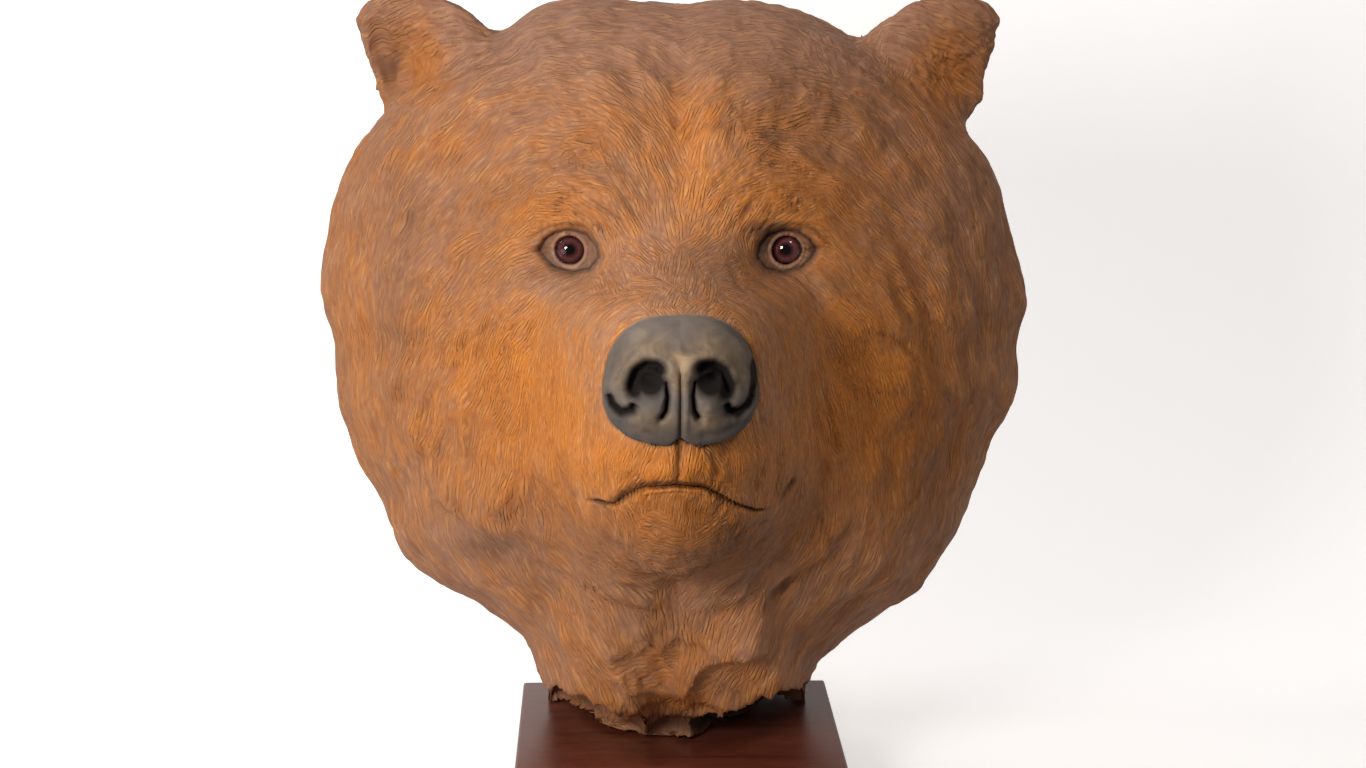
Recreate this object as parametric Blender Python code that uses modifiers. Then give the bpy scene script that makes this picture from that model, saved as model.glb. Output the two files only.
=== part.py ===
"""A bear's head carved from one block of wood, with two glass eyes, standing on a square plinth.

Metres, +Z up. The origin is the middle of the plinth's underside. The bear looks along -Y.
"""

import math

import bmesh
import bpy
import numpy as np
from mathutils import Matrix, Vector

# The plinth
PLINTH_WIDTH = 0.205
PLINTH_DEPTH = 0.205
PLINTH_THICKNESS = 0.038
PLINTH_EDGE_ROUND = 0.0015

# The head, and how it stands on the plinth
HEAD_WIDTH = 0.450
HEAD_TURN = math.radians(-1.5)
SEAT_GAP = 0.0003

# The glass eyes: a flat-backed disc with a domed front, let into a drilled socket
EYE_DIAMETER = 0.018
EYE_EDGE = 0.0040
EYE_DOME = 0.0046
EYE_CLEARANCE = 0.0003

# How finely the solids are faceted
HEAD_SPOKES = 80
HEAD_RINGS = 52
EAR_SPOKES = 22
EAR_RINGS = 9
EYE_SPOKES = 24
EYE_DOME_STEPS = 4

# The carving's own lengths are written in parts of a head 450 parts wide, from the middle of
# the neck's sawn underside: x to the right of the photograph, y to the back, z up.
PART = HEAD_WIDTH / 450.0

# The head is drawn round an axis through the nose. Outline: degrees from the right hand side,
# anticlockwise, and the radius there. Straight down it passes below the neck's saw cut.
NOSE_Z = 270.0
OUTLINE = [
    (0, 223), (12, 218), (24, 219), (30, 216), (45, 207), (60, 203), (70, 201), (80, 196), (90, 191),
    (100, 196), (108, 203), (115, 208), (122, 207), (135, 214), (150, 225), (165, 228), (180, 227),
    (186, 222), (192, 226), (204, 229), (212, 229), (222, 240), (232, 236), (240, 235), (246, 244),
    (250, 265), (254, 298), (270, 286), (286, 294), (290, 260), (295, 247), (303, 241), (311, 242),
    (316, 238), (321, 234), (330, 224), (338, 222), (346, 226), (354, 220),
]
WIDEST_Y = 30.0
NECK_WIDEST_Y = 62.0
FACE_Y = 128.0
BACK_Y = 170.0

# The muzzle's section down the middle: height, how far it stands forward of y = 0, half width
MUZZLE = [
    (50, -120, 40), (108, 40, 50), (126, 98, 58), (140, 152, 66), (160, 184, 78), (180, 201, 88),
    (198, 211, 93), (212, 219, 94), (232, 226, 92), (252, 233, 90), (270, 235, 88), (288, 232, 85),
    (302, 214, 80), (314, 176, 72), (328, 134, 60), (345, 90, 46), (420, -140, 40),
]

# The fur's tufts: rows from the nose to the outline, and how many stand round the outermost row
LOCK_ROWS = 6
LOCKS_ROUND = 34
LOCK_HEIGHT = 5.5

# The nose pad: middle height, half width, half height, and the front of its dome
NOSE_X = 1.3
NOSE_MIDDLE_Z = 266.5
NOSE_HALF_WIDTH = 41.0
NOSE_HALF_HEIGHT = 34.5
NOSE_FRONT = 247.0

# The eyes' middles, and the muzzle's mouth line from the left corner to the right one
EYE_X = 63.2
EYE_Z = 323.0
EYE_FRONT = 106.0
MOUTH = [(-53, 188), (-36, 190), (-19, 204), (-1, 207), (14, 205), (30, 193), (43, 184), (52, 182)]

# The ears: how far each one's middle is from the centre line, its height and its lean outward
EAR_LEFT = (-150.0, 418.0, math.radians(-43.0))
EAR_RIGHT = (150.0, 415.0, math.radians(44.0))
EAR_Y = 42.0
EAR_LENGTH = 60.0
EAR_BREADTH = 42.0
EAR_THICKNESS = 21.0
EAR_TURN = math.radians(18.0)
EAR_CUP = 24.0


def smooth_curve(points, where):
    """Height at each place on a smooth curve through (place, height) points."""
    knots = np.array(points, float)
    place = knots[:, 0]
    height = knots[:, 1]
    slope = np.gradient(height, place)
    i = np.clip(np.searchsorted(place, where) - 1, 0, len(place) - 2)
    width = place[i + 1] - place[i]
    u = np.clip((where - place[i]) / width, 0.0, 1.0)
    start = height[i] * (1 + 2 * u) * (1 - u) ** 2 + slope[i] * width * u * (1 - u) ** 2
    end = height[i + 1] * u * u * (3 - 2 * u) - slope[i + 1] * width * u * u * (1 - u)
    return start + end


def closed_curve(points, degrees):
    """The same for a closed curve given by degrees."""
    before = [(p[0] - 360, *p[1:]) for p in points[-3:]]
    after = [(p[0] + 360, *p[1:]) for p in points[:3]]
    return smooth_curve(before + points + after, np.mod(degrees, 360.0))


def rise(value):
    """0 below 0, 1 above 1, and smooth between."""
    u = np.clip(value, 0.0, 1.0)
    return u * u * (3 - 2 * u)


def swelling(x, z, middle, size, turn=0.0):
    """1 at the middle of an oval, fading out beyond its size."""
    c = math.cos(math.radians(turn))
    s = math.sin(math.radians(turn))
    across = ((x - middle[0]) * c + (z - middle[1]) * s) / size[0]
    along = ((z - middle[1]) * c - (x - middle[0]) * s) / size[1]
    return np.exp(-across * across - along * along)


def beside(x, z, path):
    """Distance from a path, which side of it (positive on its left) and how far along it, 0 to 1."""
    nearest = np.full(np.shape(x), 1e9)
    side = np.ones(np.shape(x))
    share = np.zeros(np.shape(x))
    count = len(path) - 1
    for k in range(count):
        step_x = path[k + 1][0] - path[k][0]
        step_z = path[k + 1][1] - path[k][1]
        length = step_x * step_x + step_z * step_z
        u = np.clip(((x - path[k][0]) * step_x + (z - path[k][1]) * step_z) / length, 0.0, 1.0)
        away_x = x - path[k][0] - u * step_x
        away_z = z - path[k][1] - u * step_z
        distance = np.hypot(away_x, away_z)
        closer = distance < nearest
        nearest = np.where(closer, distance, nearest)
        side = np.where(closer, np.sign(step_x * away_z - step_z * away_x + 1e-9), side)
        share = np.where(closer, (k + u) / count, share)
    return nearest, side, share


def groove(x, z, path, half_width):
    """1 along a path, fading out to its half width, and shallower at the path's ends."""
    distance, side, share = beside(x, z, path)
    return np.exp(-(distance / half_width) ** 2) * rise(share * 6 + 0.3) * rise((1 - share) * 6 + 0.3)


def lock_edge(x, z, path, fade, sharp=12.0):
    """A tuft that stands up along a path and sinks away behind it, on the path's left."""
    distance, side, share = beside(x, z, path)
    ends = rise(share * 5) * rise((1 - share) * 5)
    return rise(distance * side / sharp + 0.5) * np.exp(-(distance / fade) ** 2) * ends


def fur_locks(share, degrees, steep=0.35):
    """Rows of tufts that overlap outward from the face, each standing up towards its tip."""
    along = share * LOCK_ROWS
    row = np.floor(along)
    reach = along - row
    tip = rise(reach / (1 - steep)) * (1 - rise((reach - 1 + steep) / steep))
    count = LOCKS_ROUND - 2 * (LOCK_ROWS - row)
    across = np.abs(np.sin(np.radians(degrees) * count / 2 + 1.3 * row))
    return tip * across * rise((share - 0.52) / 0.16)


def muzzle_front(x, z):
    """How far forward the muzzle stands."""
    middle = smooth_curve([(p[0], p[1]) for p in MUZZLE], z)
    half = smooth_curve([(p[0], p[2]) for p in MUZZLE], z)
    foot = np.minimum(60.0, middle - 40.0)
    share = np.clip(np.abs(x) / half, 0.0, 1.0)
    return foot + (middle - foot) * (1 - share ** 1.9) ** 0.75 - 3 * np.maximum(np.abs(x) - half, 0.0)


def nose_front(x, z):
    """How far forward the nose pad stands, and 1 on the pad."""
    x = x - NOSE_X
    up = (z - NOSE_MIDDLE_Z) / NOSE_HALF_HEIGHT
    across = x / (NOSE_HALF_WIDTH * (1 - 0.10 * up))
    round_share = (np.abs(across) ** 2.4 + np.abs(up) ** 2.4) ** (1 / 2.4)
    fall = 30 * np.abs(across) ** 2.6 + np.where(up > 0, 32, 14) * np.abs(up) ** 2.4
    pad = NOSE_FRONT - fall
    side = np.abs(x)
    pad = pad - 11 * groove(side, z, [(24, 262), (23, 273), (16, 278), (9, 273), (8, 260)], 5.5)
    pad = pad - 4 * groove(side, z, [(25, 258), (33, 255), (41, 264)], 4.0)
    pad = pad - 3 * groove(x, z, [(0, 266), (0, 250), (0, 226)], 2.5)
    return pad, rise((1.0 - round_share) * 14)


def widest_y(degrees):
    """Where the head is widest, which is further back at the neck."""
    away = np.abs(np.mod(degrees, 360.0) - 270.0)
    return WIDEST_Y + (NECK_WIDEST_Y - WIDEST_Y) * np.exp(-(away / 30.0) ** 2)


def face_front(x, z, share, degrees):
    """How far forward of y = 0 the carving stands."""
    turn = np.radians(degrees)
    sideways = np.cos(turn) ** 2
    upward = np.where(np.sin(turn) > 0, np.sin(turn) ** 2, 0.0)
    downward = 1 - sideways - upward
    cheek = (1 - share ** 1.7) ** 0.83
    brow = (1 - share ** 2.2) ** 0.455
    throat = (1 - share ** 2.3) ** 0.435
    widest = widest_y(degrees)
    front = (FACE_Y + widest) * (sideways * cheek + upward * brow + downward * throat) - widest
    side = np.abs(x)

    # The forehead's parting, brow ridges, hollows of the eyes and cheekbones
    front = front - 3 * groove(x, z, [(-3, 440), (-1, 408), (2, 354), (0, 330)], 12)
    front = front + 7 * swelling(side, z, (62, 354), (36, 18), 8)
    front = front + 4 * swelling(side, z, (34, 392), (28, 40))
    front = front - 6 * swelling(side, z, (44, 304), (18, 20), 40)
    front = front + 8 * swelling(side, z, (96, 286), (38, 26), 20)
    front = front + 12 * swelling(side, z, (98, 190), (38, 60), 15)
    front = front + 6 * swelling(x, z, (0, 96), (70, 40))
    front = front - 6 * swelling(x, z, (40, 52), (24, 20), -20)
    front = front - 8 * swelling(side, z, (132, 352), (34, 44), 20)

    # Tufts all round the cheeks, crown and ruff
    front = front + LOCK_HEIGHT * fur_locks(share, degrees)

    # Muzzle and nose
    blend = 17.0
    muzzle = muzzle_front(x, z)
    front = blend * np.logaddexp(front / blend, muzzle / blend)
    pad, on_pad = nose_front(x, z)
    front = front + (np.maximum(pad, front) - front) * on_pad
    front = np.where(on_pad > 0.6, pad, front)

    # The hollow that each eye sits in, nearly flat round the glass
    hollow_x = (side - EYE_X) / 23
    hollow_z = (z - EYE_Z) / 16
    hollow = np.exp(-(hollow_x ** 2 + hollow_z ** 2) ** 1.5)
    front = front + (EYE_FRONT - 3 - 0.3 * (side - EYE_X) - front) * hollow

    # Mouth, lips, chin and the cut under it
    front = front - 7 * groove(x, z, MOUTH, 6.5)
    front = front + 4 * swelling(x, z, (0, 216), (40, 8))
    front = front - 7 * groove(x, z, [(61, 182), (70, 190)], 3.5)
    front = front - 4 * groove(x, z, [(-60, 190), (-66, 196)], 3.5)
    front = front + 6 * swelling(x, z, (0, 160), (24, 24))
    front = front + 7 * lock_edge(x, z, [(-50, 176), (-24, 148), (0, 134), (24, 148), (50, 176)], 26)

    # Locks that stand up along their edges: the cheeks' long tufts, then the ruff's
    front = front + 9 * lock_edge(x, z, [(159, 158), (171, 217), (146, 262), (118, 312)], 44)
    front = front + 7 * lock_edge(x, z, [(-150, 262), (-168, 204), (-152, 162), (-98, 134)], 38)
    front = front + 6 * lock_edge(x, z, [(-98, 137), (-60, 118), (0, 102)], 30)
    front = front + 6 * lock_edge(x, z, [(0, 102), (60, 118), (104, 140)], 30)
    front = front + 6 * lock_edge(x, z, [(-186, 318), (-176, 262), (-186, 214)], 26)
    front = front + 6 * lock_edge(x, z, [(-140, 110), (-104, 92), (-72, 60)], 30)
    front = front + 6 * lock_edge(x, z, [(72, 66), (104, 96), (150, 112)], 30)

    # The ruff's lower edge overhangs the rough-hewn neck
    edge = [(-110, 41), (-78, 39), (-48, 34), (-24, 22), (-7, 13), (14, 18), (38, 26), (69, 36), (110, 40)]
    distance, above, share_along = beside(x, z, edge)
    below = rise(0.2 - distance * above / (8 + 0.3 * side))
    neck = 28 - 106 * (side / 85) ** 2.2 + 0.12 * z
    for lump_x, lump_z, lump in ((-66, 14, 7), (-46, 6, 9), (-20, 8, 8), (12, 5, 5), (44, 8, 8), (66, 16, 7)):
        neck = neck + lump * swelling(x, z, (lump_x, lump_z), (9, 10))
    front = front + (np.maximum(neck, 1.0 - widest) - front) * below * rise((70 - z) / 20)
    return front


def head_point(turn_degrees, sweep):
    """A point of the head for its angle round the nose axis and its sweep, 0 at the nose to 2 at the back."""
    share = np.sin(sweep * math.pi / 2)
    radius = closed_curve(OUTLINE, turn_degrees) * share
    turn = np.radians(turn_degrees)
    x = radius * np.cos(turn)
    z = NOSE_Z + radius * np.sin(turn)
    front = -face_front(x, z, share, turn_degrees)
    widest = widest_y(turn_degrees)
    back = widest + (BACK_Y - widest) * np.clip(1 - share ** 2.8, 0.0, 1.0) ** (1 / 2.8)
    back = back - 36 * rise((100 - z) / 100) * rise((1 - share) * 12)
    y = np.where(sweep < 1, front, back)
    return x, y, z


def head_grid(spokes, rings):
    """Rows of points round the nose axis, evenly spaced along the surface and closer on the face."""
    turns = np.arange(spokes) * 360.0 / spokes
    sweeps = np.linspace(0.0, 2.0, 901)
    sweep_grid, turn_grid = np.meshgrid(sweeps, turns)
    x, y, z = head_point(turn_grid, sweep_grid)
    step = np.sqrt(np.diff(x) ** 2 + np.diff(y) ** 2 + np.diff(z) ** 2)
    middle = (sweep_grid[:, 1:] + sweep_grid[:, :-1]) / 2
    care = 0.5 + 0.9 * rise((1.15 - middle) / 0.3) + 0.9 * rise((0.75 - middle) / 0.2)
    care = care + 1.3 * rise((0.42 - middle) / 0.12) + 1.8 * rise((0.17 - middle) / 0.05)
    middle_x = (x[:, 1:] + x[:, :-1]) / 2
    middle_z = (z[:, 1:] + z[:, :-1]) / 2
    care = care + 3.0 * swelling(middle_x, middle_z, (0, 197), (62, 13)) * (middle < 1)
    care = care + 2.0 * swelling(np.abs(middle_x), middle_z, (EYE_X, EYE_Z), (26, 20)) * (middle < 1)
    run = np.concatenate([np.zeros((spokes, 1)), np.cumsum(step * care, axis=1)], axis=1)
    ring_sweeps = np.zeros((spokes, rings))
    for j in range(spokes):
        ring_sweeps[j] = np.interp(np.linspace(0, run[j, -1], rings + 2)[1:-1], run[j], sweeps)
    for smoothing in range(3):
        ring_sweeps = (np.roll(ring_sweeps, 1, 0) + 2 * ring_sweeps + np.roll(ring_sweeps, -1, 0)) / 4
    x, y, z = head_point(np.repeat(turns[:, None], rings, 1), ring_sweeps)
    return np.stack([x, y, z], -1)


def closed_solid(grid, first, last, name):
    """A mesh object from a grid of rows round an axis, closed at both poles."""
    rows, columns = grid.shape[:2]
    mesh = bmesh.new()
    verts = [[mesh.verts.new(grid[j, k]) for k in range(columns)] for j in range(rows)]
    first_pole = mesh.verts.new(first)
    last_pole = mesh.verts.new(last)
    for j in range(rows):
        here = verts[j]
        after = verts[(j + 1) % rows]
        mesh.faces.new((first_pole, after[0], here[0]))
        mesh.faces.new((last_pole, here[-1], after[-1]))
        for k in range(columns - 1):
            mesh.faces.new((here[k], after[k], after[k + 1], here[k + 1]))
    bmesh.ops.triangulate(mesh, faces=mesh.faces)
    bmesh.ops.recalc_face_normals(mesh, faces=mesh.faces)
    data = bpy.data.meshes.new(name)
    mesh.to_mesh(data)
    mesh.free()
    return bpy.data.objects.new(name, data)


def ear_grid(ear, spokes, rings):
    """One cupped ear as rows of points round its own middle, with the two poles."""
    turns = np.arange(spokes) * 2 * math.pi / spokes
    sweeps = np.linspace(0.0, math.pi, rings + 2)
    sweep, turn = np.meshgrid(sweeps, turns)
    outward = math.copysign(1.0, ear[0])
    across = np.sin(sweep) * np.cos(turn)
    along = np.sin(sweep) * np.sin(turn)
    through = -np.cos(sweep)
    cup = EAR_CUP * np.exp(-((across - 0.15 * outward) / 0.46) ** 2 - ((along - 0.1) / 0.62) ** 2)
    to_root = np.clip(0.5 - along, 0.0, 1.5)
    x = across * EAR_BREADTH * (1 + 0.16 * to_root + 0.10 * rise(along))
    y = through * EAR_THICKNESS * (1 + 0.5 * to_root) + np.where(through < 0, cup, 0.35 * cup)
    z = along * EAR_LENGTH
    turn_out = EAR_TURN * outward
    turned_x = x * math.cos(turn_out) - y * math.sin(turn_out)
    turned_y = x * math.sin(turn_out) + y * math.cos(turn_out)
    lean = ear[2]
    leaned_x = turned_x * math.cos(lean) + z * math.sin(lean)
    leaned_z = z * math.cos(lean) - turned_x * math.sin(lean)
    points = np.stack([ear[0] + leaned_x, EAR_Y + turned_y, ear[1] + leaned_z], -1)
    return points[:, 1:-1], points[0, 0], points[0, -1]


def to_world(obj):
    """Carving parts to metres, turned and stood on the plinth."""
    place = Matrix.Translation((0, 0, PLINTH_THICKNESS)) @ Matrix.Rotation(HEAD_TURN, 4, "Z")
    obj.data.transform(place @ Matrix.Scale(PART, 4))
    obj.data.update()


def material(name, colour, roughness):
    made = bpy.data.materials.new(name)
    made.use_nodes = True
    shader = made.node_tree.nodes["Principled BSDF"]
    shader.inputs["Base Color"].default_value = colour
    shader.inputs["Roughness"].default_value = roughness
    return made


def cut_with(obj, other, operation):
    """Join another solid to this one, or cut it away."""
    step = obj.modifiers.new(operation.lower(), "BOOLEAN")
    step.operation = operation
    step.solver = "EXACT"
    step.object = other


for old in list(bpy.data.objects):
    bpy.data.objects.remove(old)

bear = bpy.data.collections.new("carved_bear_head")
cutters = bpy.data.collections.new("cutters")
bpy.context.scene.collection.children.link(bear)
bpy.context.scene.collection.children.link(cutters)


# The plinth
mesh = bmesh.new()
bmesh.ops.create_cube(mesh, size=1.0)
bmesh.ops.scale(mesh, vec=(PLINTH_WIDTH, PLINTH_DEPTH, PLINTH_THICKNESS), verts=mesh.verts)
bmesh.ops.translate(mesh, vec=(0, 0, PLINTH_THICKNESS / 2), verts=mesh.verts)
data = bpy.data.meshes.new("plinth")
mesh.to_mesh(data)
mesh.free()
plinth = bpy.data.objects.new("plinth", data)
bear.objects.link(plinth)
rounding = plinth.modifiers.new("rounding", "BEVEL")
rounding.width = PLINTH_EDGE_ROUND
rounding.segments = 2
rounding.limit_method = "ANGLE"
plinth.data.materials.append(material("plinth_wood", (0.10, 0.028, 0.014, 1.0), 0.32))


# The head, cut flat below at the seat
grid = head_grid(HEAD_SPOKES, HEAD_RINGS)
nose_tip = [float(v) for v in np.array(head_point(np.array([0.0]), np.array([0.0])))[:, 0]]
back_tip = [float(v) for v in np.array(head_point(np.array([0.0]), np.array([2.0])))[:, 0]]
head = closed_solid(grid, nose_tip, back_tip, "bear_head")
mesh = bmesh.new()
mesh.from_mesh(head.data)
seat = SEAT_GAP / PART
whole = list(mesh.verts) + list(mesh.edges) + list(mesh.faces)
cut = bmesh.ops.bisect_plane(mesh, geom=whole, plane_co=(0, 0, seat), plane_no=(0, 0, -1), clear_outer=True)
rim = [e for e in cut["geom_cut"] if isinstance(e, bmesh.types.BMEdge)]
filled = bmesh.ops.triangle_fill(mesh, edges=rim, use_beauty=True)
bmesh.ops.triangulate(mesh, faces=mesh.faces)
bmesh.ops.recalc_face_normals(mesh, faces=mesh.faces)
mesh.to_mesh(head.data)
mesh.free()
to_world(head)
bear.objects.link(head)
head.data.materials.append(material("carved_wood", (0.42, 0.20, 0.09, 1.0), 0.55))

for name, place in (("ear_left_block", EAR_LEFT), ("ear_right_block", EAR_RIGHT)):
    grid, front_pole, back_pole = ear_grid(place, EAR_SPOKES, EAR_RINGS)
    ear = closed_solid(grid, front_pole, back_pole, name)
    to_world(ear)
    cutters.objects.link(ear)
    ear.hide_render = True
    ear.display_type = "WIRE"
    cut_with(head, ear, "UNION")


# The glass eyes and their sockets
glass = material("glass_eye", (0.10, 0.035, 0.02, 1.0), 0.05)
eye_radius = EYE_DIAMETER / 2
eye_depth = EYE_EDGE + EYE_DOME
for name, side in (("eye_left", -1), ("eye_right", 1)):
    turned = Matrix.Translation((0, 0, PLINTH_THICKNESS)) @ Matrix.Rotation(HEAD_TURN, 4, "Z")
    front = turned @ Vector((side * EYE_X * PART, -EYE_FRONT * PART, EYE_Z * PART))
    profile = [(eye_radius, 0.0), (eye_radius, EYE_EDGE)]
    for k in range(1, EYE_DOME_STEPS):
        lift = math.radians(90.0 * k / EYE_DOME_STEPS)
        profile.append((eye_radius * math.cos(lift), EYE_EDGE + EYE_DOME * math.sin(lift)))
    mesh = bmesh.new()
    loops = []
    for radius, height in profile:
        ring = []
        for k in range(EYE_SPOKES):
            a = 2 * math.pi * k / EYE_SPOKES
            ring.append(mesh.verts.new((radius * math.cos(a), eye_depth - height, radius * math.sin(a))))
        loops.append(ring)
    mesh.faces.new(loops[0])
    top = mesh.verts.new((0, 0, 0))
    for k in range(EYE_SPOKES):
        k2 = (k + 1) % EYE_SPOKES
        for lower, upper in zip(loops, loops[1:]):
            mesh.faces.new((lower[k], lower[k2], upper[k2], upper[k]))
        mesh.faces.new((loops[-1][k], loops[-1][k2], top))
    bmesh.ops.recalc_face_normals(mesh, faces=mesh.faces)
    data = bpy.data.meshes.new(name)
    mesh.to_mesh(data)
    mesh.free()
    eye = bpy.data.objects.new(name, data)
    eye.data.transform(Matrix.Translation(front) @ Matrix.Rotation(HEAD_TURN, 4, "Z"))
    eye.data.materials.append(glass)
    bear.objects.link(eye)

    drill_radius = eye_radius + EYE_CLEARANCE
    drill_length = 0.060
    mesh = bmesh.new()
    bmesh.ops.create_cone(
        mesh, cap_ends=True, segments=EYE_SPOKES, radius1=drill_radius, radius2=drill_radius, depth=drill_length
    )
    bmesh.ops.rotate(mesh, cent=(0, 0, 0), matrix=Matrix.Rotation(math.pi / 2, 3, "X"), verts=mesh.verts)
    bmesh.ops.translate(mesh, vec=(0, eye_depth + EYE_CLEARANCE - drill_length / 2, 0), verts=mesh.verts)
    data = bpy.data.meshes.new(name + "_drill")
    mesh.to_mesh(data)
    mesh.free()
    drill = bpy.data.objects.new(name + "_drill", data)
    drill.data.transform(Matrix.Translation(front) @ Matrix.Rotation(HEAD_TURN, 4, "Z"))
    drill.hide_render = True
    drill.display_type = "WIRE"
    cutters.objects.link(drill)
    cut_with(head, drill, "DIFFERENCE")
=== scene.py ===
"""A carved bear's head with glass eyes, on its square plinth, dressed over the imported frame."""

import math

import bmesh
import bpy
import numpy as np
from mathutils import Matrix, Vector, kdtree


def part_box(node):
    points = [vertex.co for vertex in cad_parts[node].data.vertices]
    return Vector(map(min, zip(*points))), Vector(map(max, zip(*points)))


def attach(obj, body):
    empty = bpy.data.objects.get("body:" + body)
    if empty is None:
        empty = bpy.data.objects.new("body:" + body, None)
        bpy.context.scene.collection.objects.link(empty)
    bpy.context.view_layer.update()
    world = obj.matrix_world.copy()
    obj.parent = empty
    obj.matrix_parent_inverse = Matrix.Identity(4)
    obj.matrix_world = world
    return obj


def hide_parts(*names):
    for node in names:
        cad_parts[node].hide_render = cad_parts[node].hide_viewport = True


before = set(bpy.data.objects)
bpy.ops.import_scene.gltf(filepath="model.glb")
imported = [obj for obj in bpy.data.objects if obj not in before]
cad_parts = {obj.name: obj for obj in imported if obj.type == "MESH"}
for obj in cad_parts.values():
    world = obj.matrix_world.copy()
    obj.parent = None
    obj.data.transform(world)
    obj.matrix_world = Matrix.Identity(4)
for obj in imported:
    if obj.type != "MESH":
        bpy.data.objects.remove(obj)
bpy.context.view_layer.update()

# The plinth: a square board of dark red mahogany, satin varnished, its arrises barely rounded.
# The carving stands on it and hides whatever holds the two together.
PLINTH_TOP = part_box("plinth")[1][2]


def new_material(name):
    """A material with only its surface shader, and that shader."""
    made = bpy.data.materials.new(name)
    made.use_nodes = True
    return made, made.node_tree.nodes["Principled BSDF"]


def add(tree, kind, **settings):
    """A shader node; settings name its sockets' values, or its own properties."""
    node = tree.nodes.new(kind)
    for name, value in settings.items():
        label = name.replace("_", " ")
        if label in node.inputs:
            node.inputs[label].default_value = value
        else:
            setattr(node, name, value)
    return node


def ramp(tree, factor, stops):
    """A colour ramp over a factor, from (place, colour) stops."""
    node = tree.nodes.new("ShaderNodeValToRGB")
    while len(node.color_ramp.elements) < len(stops):
        node.color_ramp.elements.new(0.5)
    for element, (place, colour) in zip(node.color_ramp.elements, stops):
        element.position = place
        element.color = (*colour, 1.0)
    tree.links.new(factor, node.inputs["Fac"])
    return node.outputs["Color"]


def sum_up(tree, operation, first, second, third=None):
    """One Math node over sockets or plain numbers."""
    node = tree.nodes.new("ShaderNodeMath")
    node.operation = operation
    for place, value in enumerate((first, second, third)):
        if value is None:
            continue
        if isinstance(value, (int, float)):
            node.inputs[place].default_value = value
        else:
            tree.links.new(value, node.inputs[place])
    return node.outputs[0]


def blend_colour(tree, factor, first, second, kind="MIX"):
    """One Mix node over two colours, each a socket or a plain colour."""
    node = tree.nodes.new("ShaderNodeMix")
    node.data_type = "RGBA"
    node.blend_type = kind
    for place, value in (("Factor", factor), ("A", first), ("B", second)):
        sockets = [s for s in node.inputs if s.name == place and (place == "Factor" or s.type == "RGBA")]
        socket = sockets[0]
        if isinstance(value, (int, float)):
            socket.default_value = value
        elif isinstance(value, tuple):
            socket.default_value = (*value, 1.0)
        else:
            tree.links.new(value, socket)
    return [s for s in node.outputs if s.type == "RGBA"][0]


def mapped(tree, value, span, onto):
    """A value mapped from one span onto another, and held within it."""
    node = add(tree, "ShaderNodeMapRange", From_Min=span[0], From_Max=span[1])
    node.inputs["To Min"].default_value = onto[0]
    node.inputs["To Max"].default_value = onto[1]
    tree.links.new(value, node.inputs["Value"])
    return node.outputs[0]


def wood_grain_group():
    """Fine straight grain along X and its pores, as masks from 0 to 1."""
    group = bpy.data.node_groups.new("wood_grain", "ShaderNodeTree")
    group.interface.new_socket(name="Size", in_out="INPUT", socket_type="NodeSocketFloat")
    group.interface.new_socket(name="Grain", in_out="OUTPUT", socket_type="NodeSocketFloat")
    group.interface.new_socket(name="Pores", in_out="OUTPUT", socket_type="NodeSocketFloat")
    start = group.nodes.new("NodeGroupInput")
    end = group.nodes.new("NodeGroupOutput")
    place = group.nodes.new("ShaderNodeTexCoord")
    stretch = add(group, "ShaderNodeVectorMath", operation="MULTIPLY")
    stretch.inputs[1].default_value = (0.06, 1.0, 1.0)
    group.links.new(place.outputs["Object"], stretch.inputs[0])
    size = add(group, "ShaderNodeVectorMath", operation="SCALE")
    group.links.new(stretch.outputs[0], size.inputs[0])
    group.links.new(start.outputs["Size"], size.inputs["Scale"])
    bands = add(group, "ShaderNodeTexNoise", Scale=9.0, Detail=5.0, Roughness=0.62, Distortion=0.5)
    pores = add(group, "ShaderNodeTexNoise", Scale=95.0, Detail=2.0, Roughness=0.5)
    group.links.new(size.outputs[0], bands.inputs["Vector"])
    group.links.new(size.outputs[0], pores.inputs["Vector"])
    group.links.new(bands.outputs[0], end.inputs["Grain"])
    group.links.new(pores.outputs[0], end.inputs["Pores"])
    return group


wood_grain = wood_grain_group()
mahogany, surface = new_material("plinth_mahogany")
tree = mahogany.node_tree
grain = add(tree, "ShaderNodeGroup", node_tree=wood_grain)
grain.inputs["Size"].default_value = 14.0
colour = ramp(
    tree,
    grain.outputs["Grain"],
    [(0.30, (0.090, 0.020, 0.011)), (0.50, (0.140, 0.033, 0.017)), (0.72, (0.190, 0.048, 0.024))],
)
pore_mask = ramp(tree, grain.outputs["Pores"], [(0.36, (0.62, 0.62, 0.62)), (0.50, (1.0, 1.0, 1.0))])
tree.links.new(blend_colour(tree, 1.0, colour, pore_mask, "MULTIPLY"), surface.inputs["Base Color"])
rough = mapped(tree, grain.outputs["Grain"], (0.3, 0.7), (0.30, 0.42))
tree.links.new(rough, surface.inputs["Roughness"])
surface.inputs["Coat Weight"].default_value = 0.25
surface.inputs["Coat Roughness"].default_value = 0.18
bump = add(tree, "ShaderNodeBump", Strength=0.12, Distance=0.0006)
tree.links.new(grain.outputs["Pores"], bump.inputs["Height"])
tree.links.new(bump.outputs[0], surface.inputs["Normal"])
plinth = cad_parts["plinth"]
for place in range(len(plinth.data.materials)):
    plinth.data.materials[place] = mahogany


# The head: one block of pale wood, cut to shape with gouges and then combed all over with fine
# chisel strokes for the fur. It is stained and hand painted, and its neck is sawn flat below.
HEAD_WIDTH = 0.450
HEAD_TURN = math.radians(-1.5)
SEAT_GAP = 0.0003
PART = HEAD_WIDTH / 450.0

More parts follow.
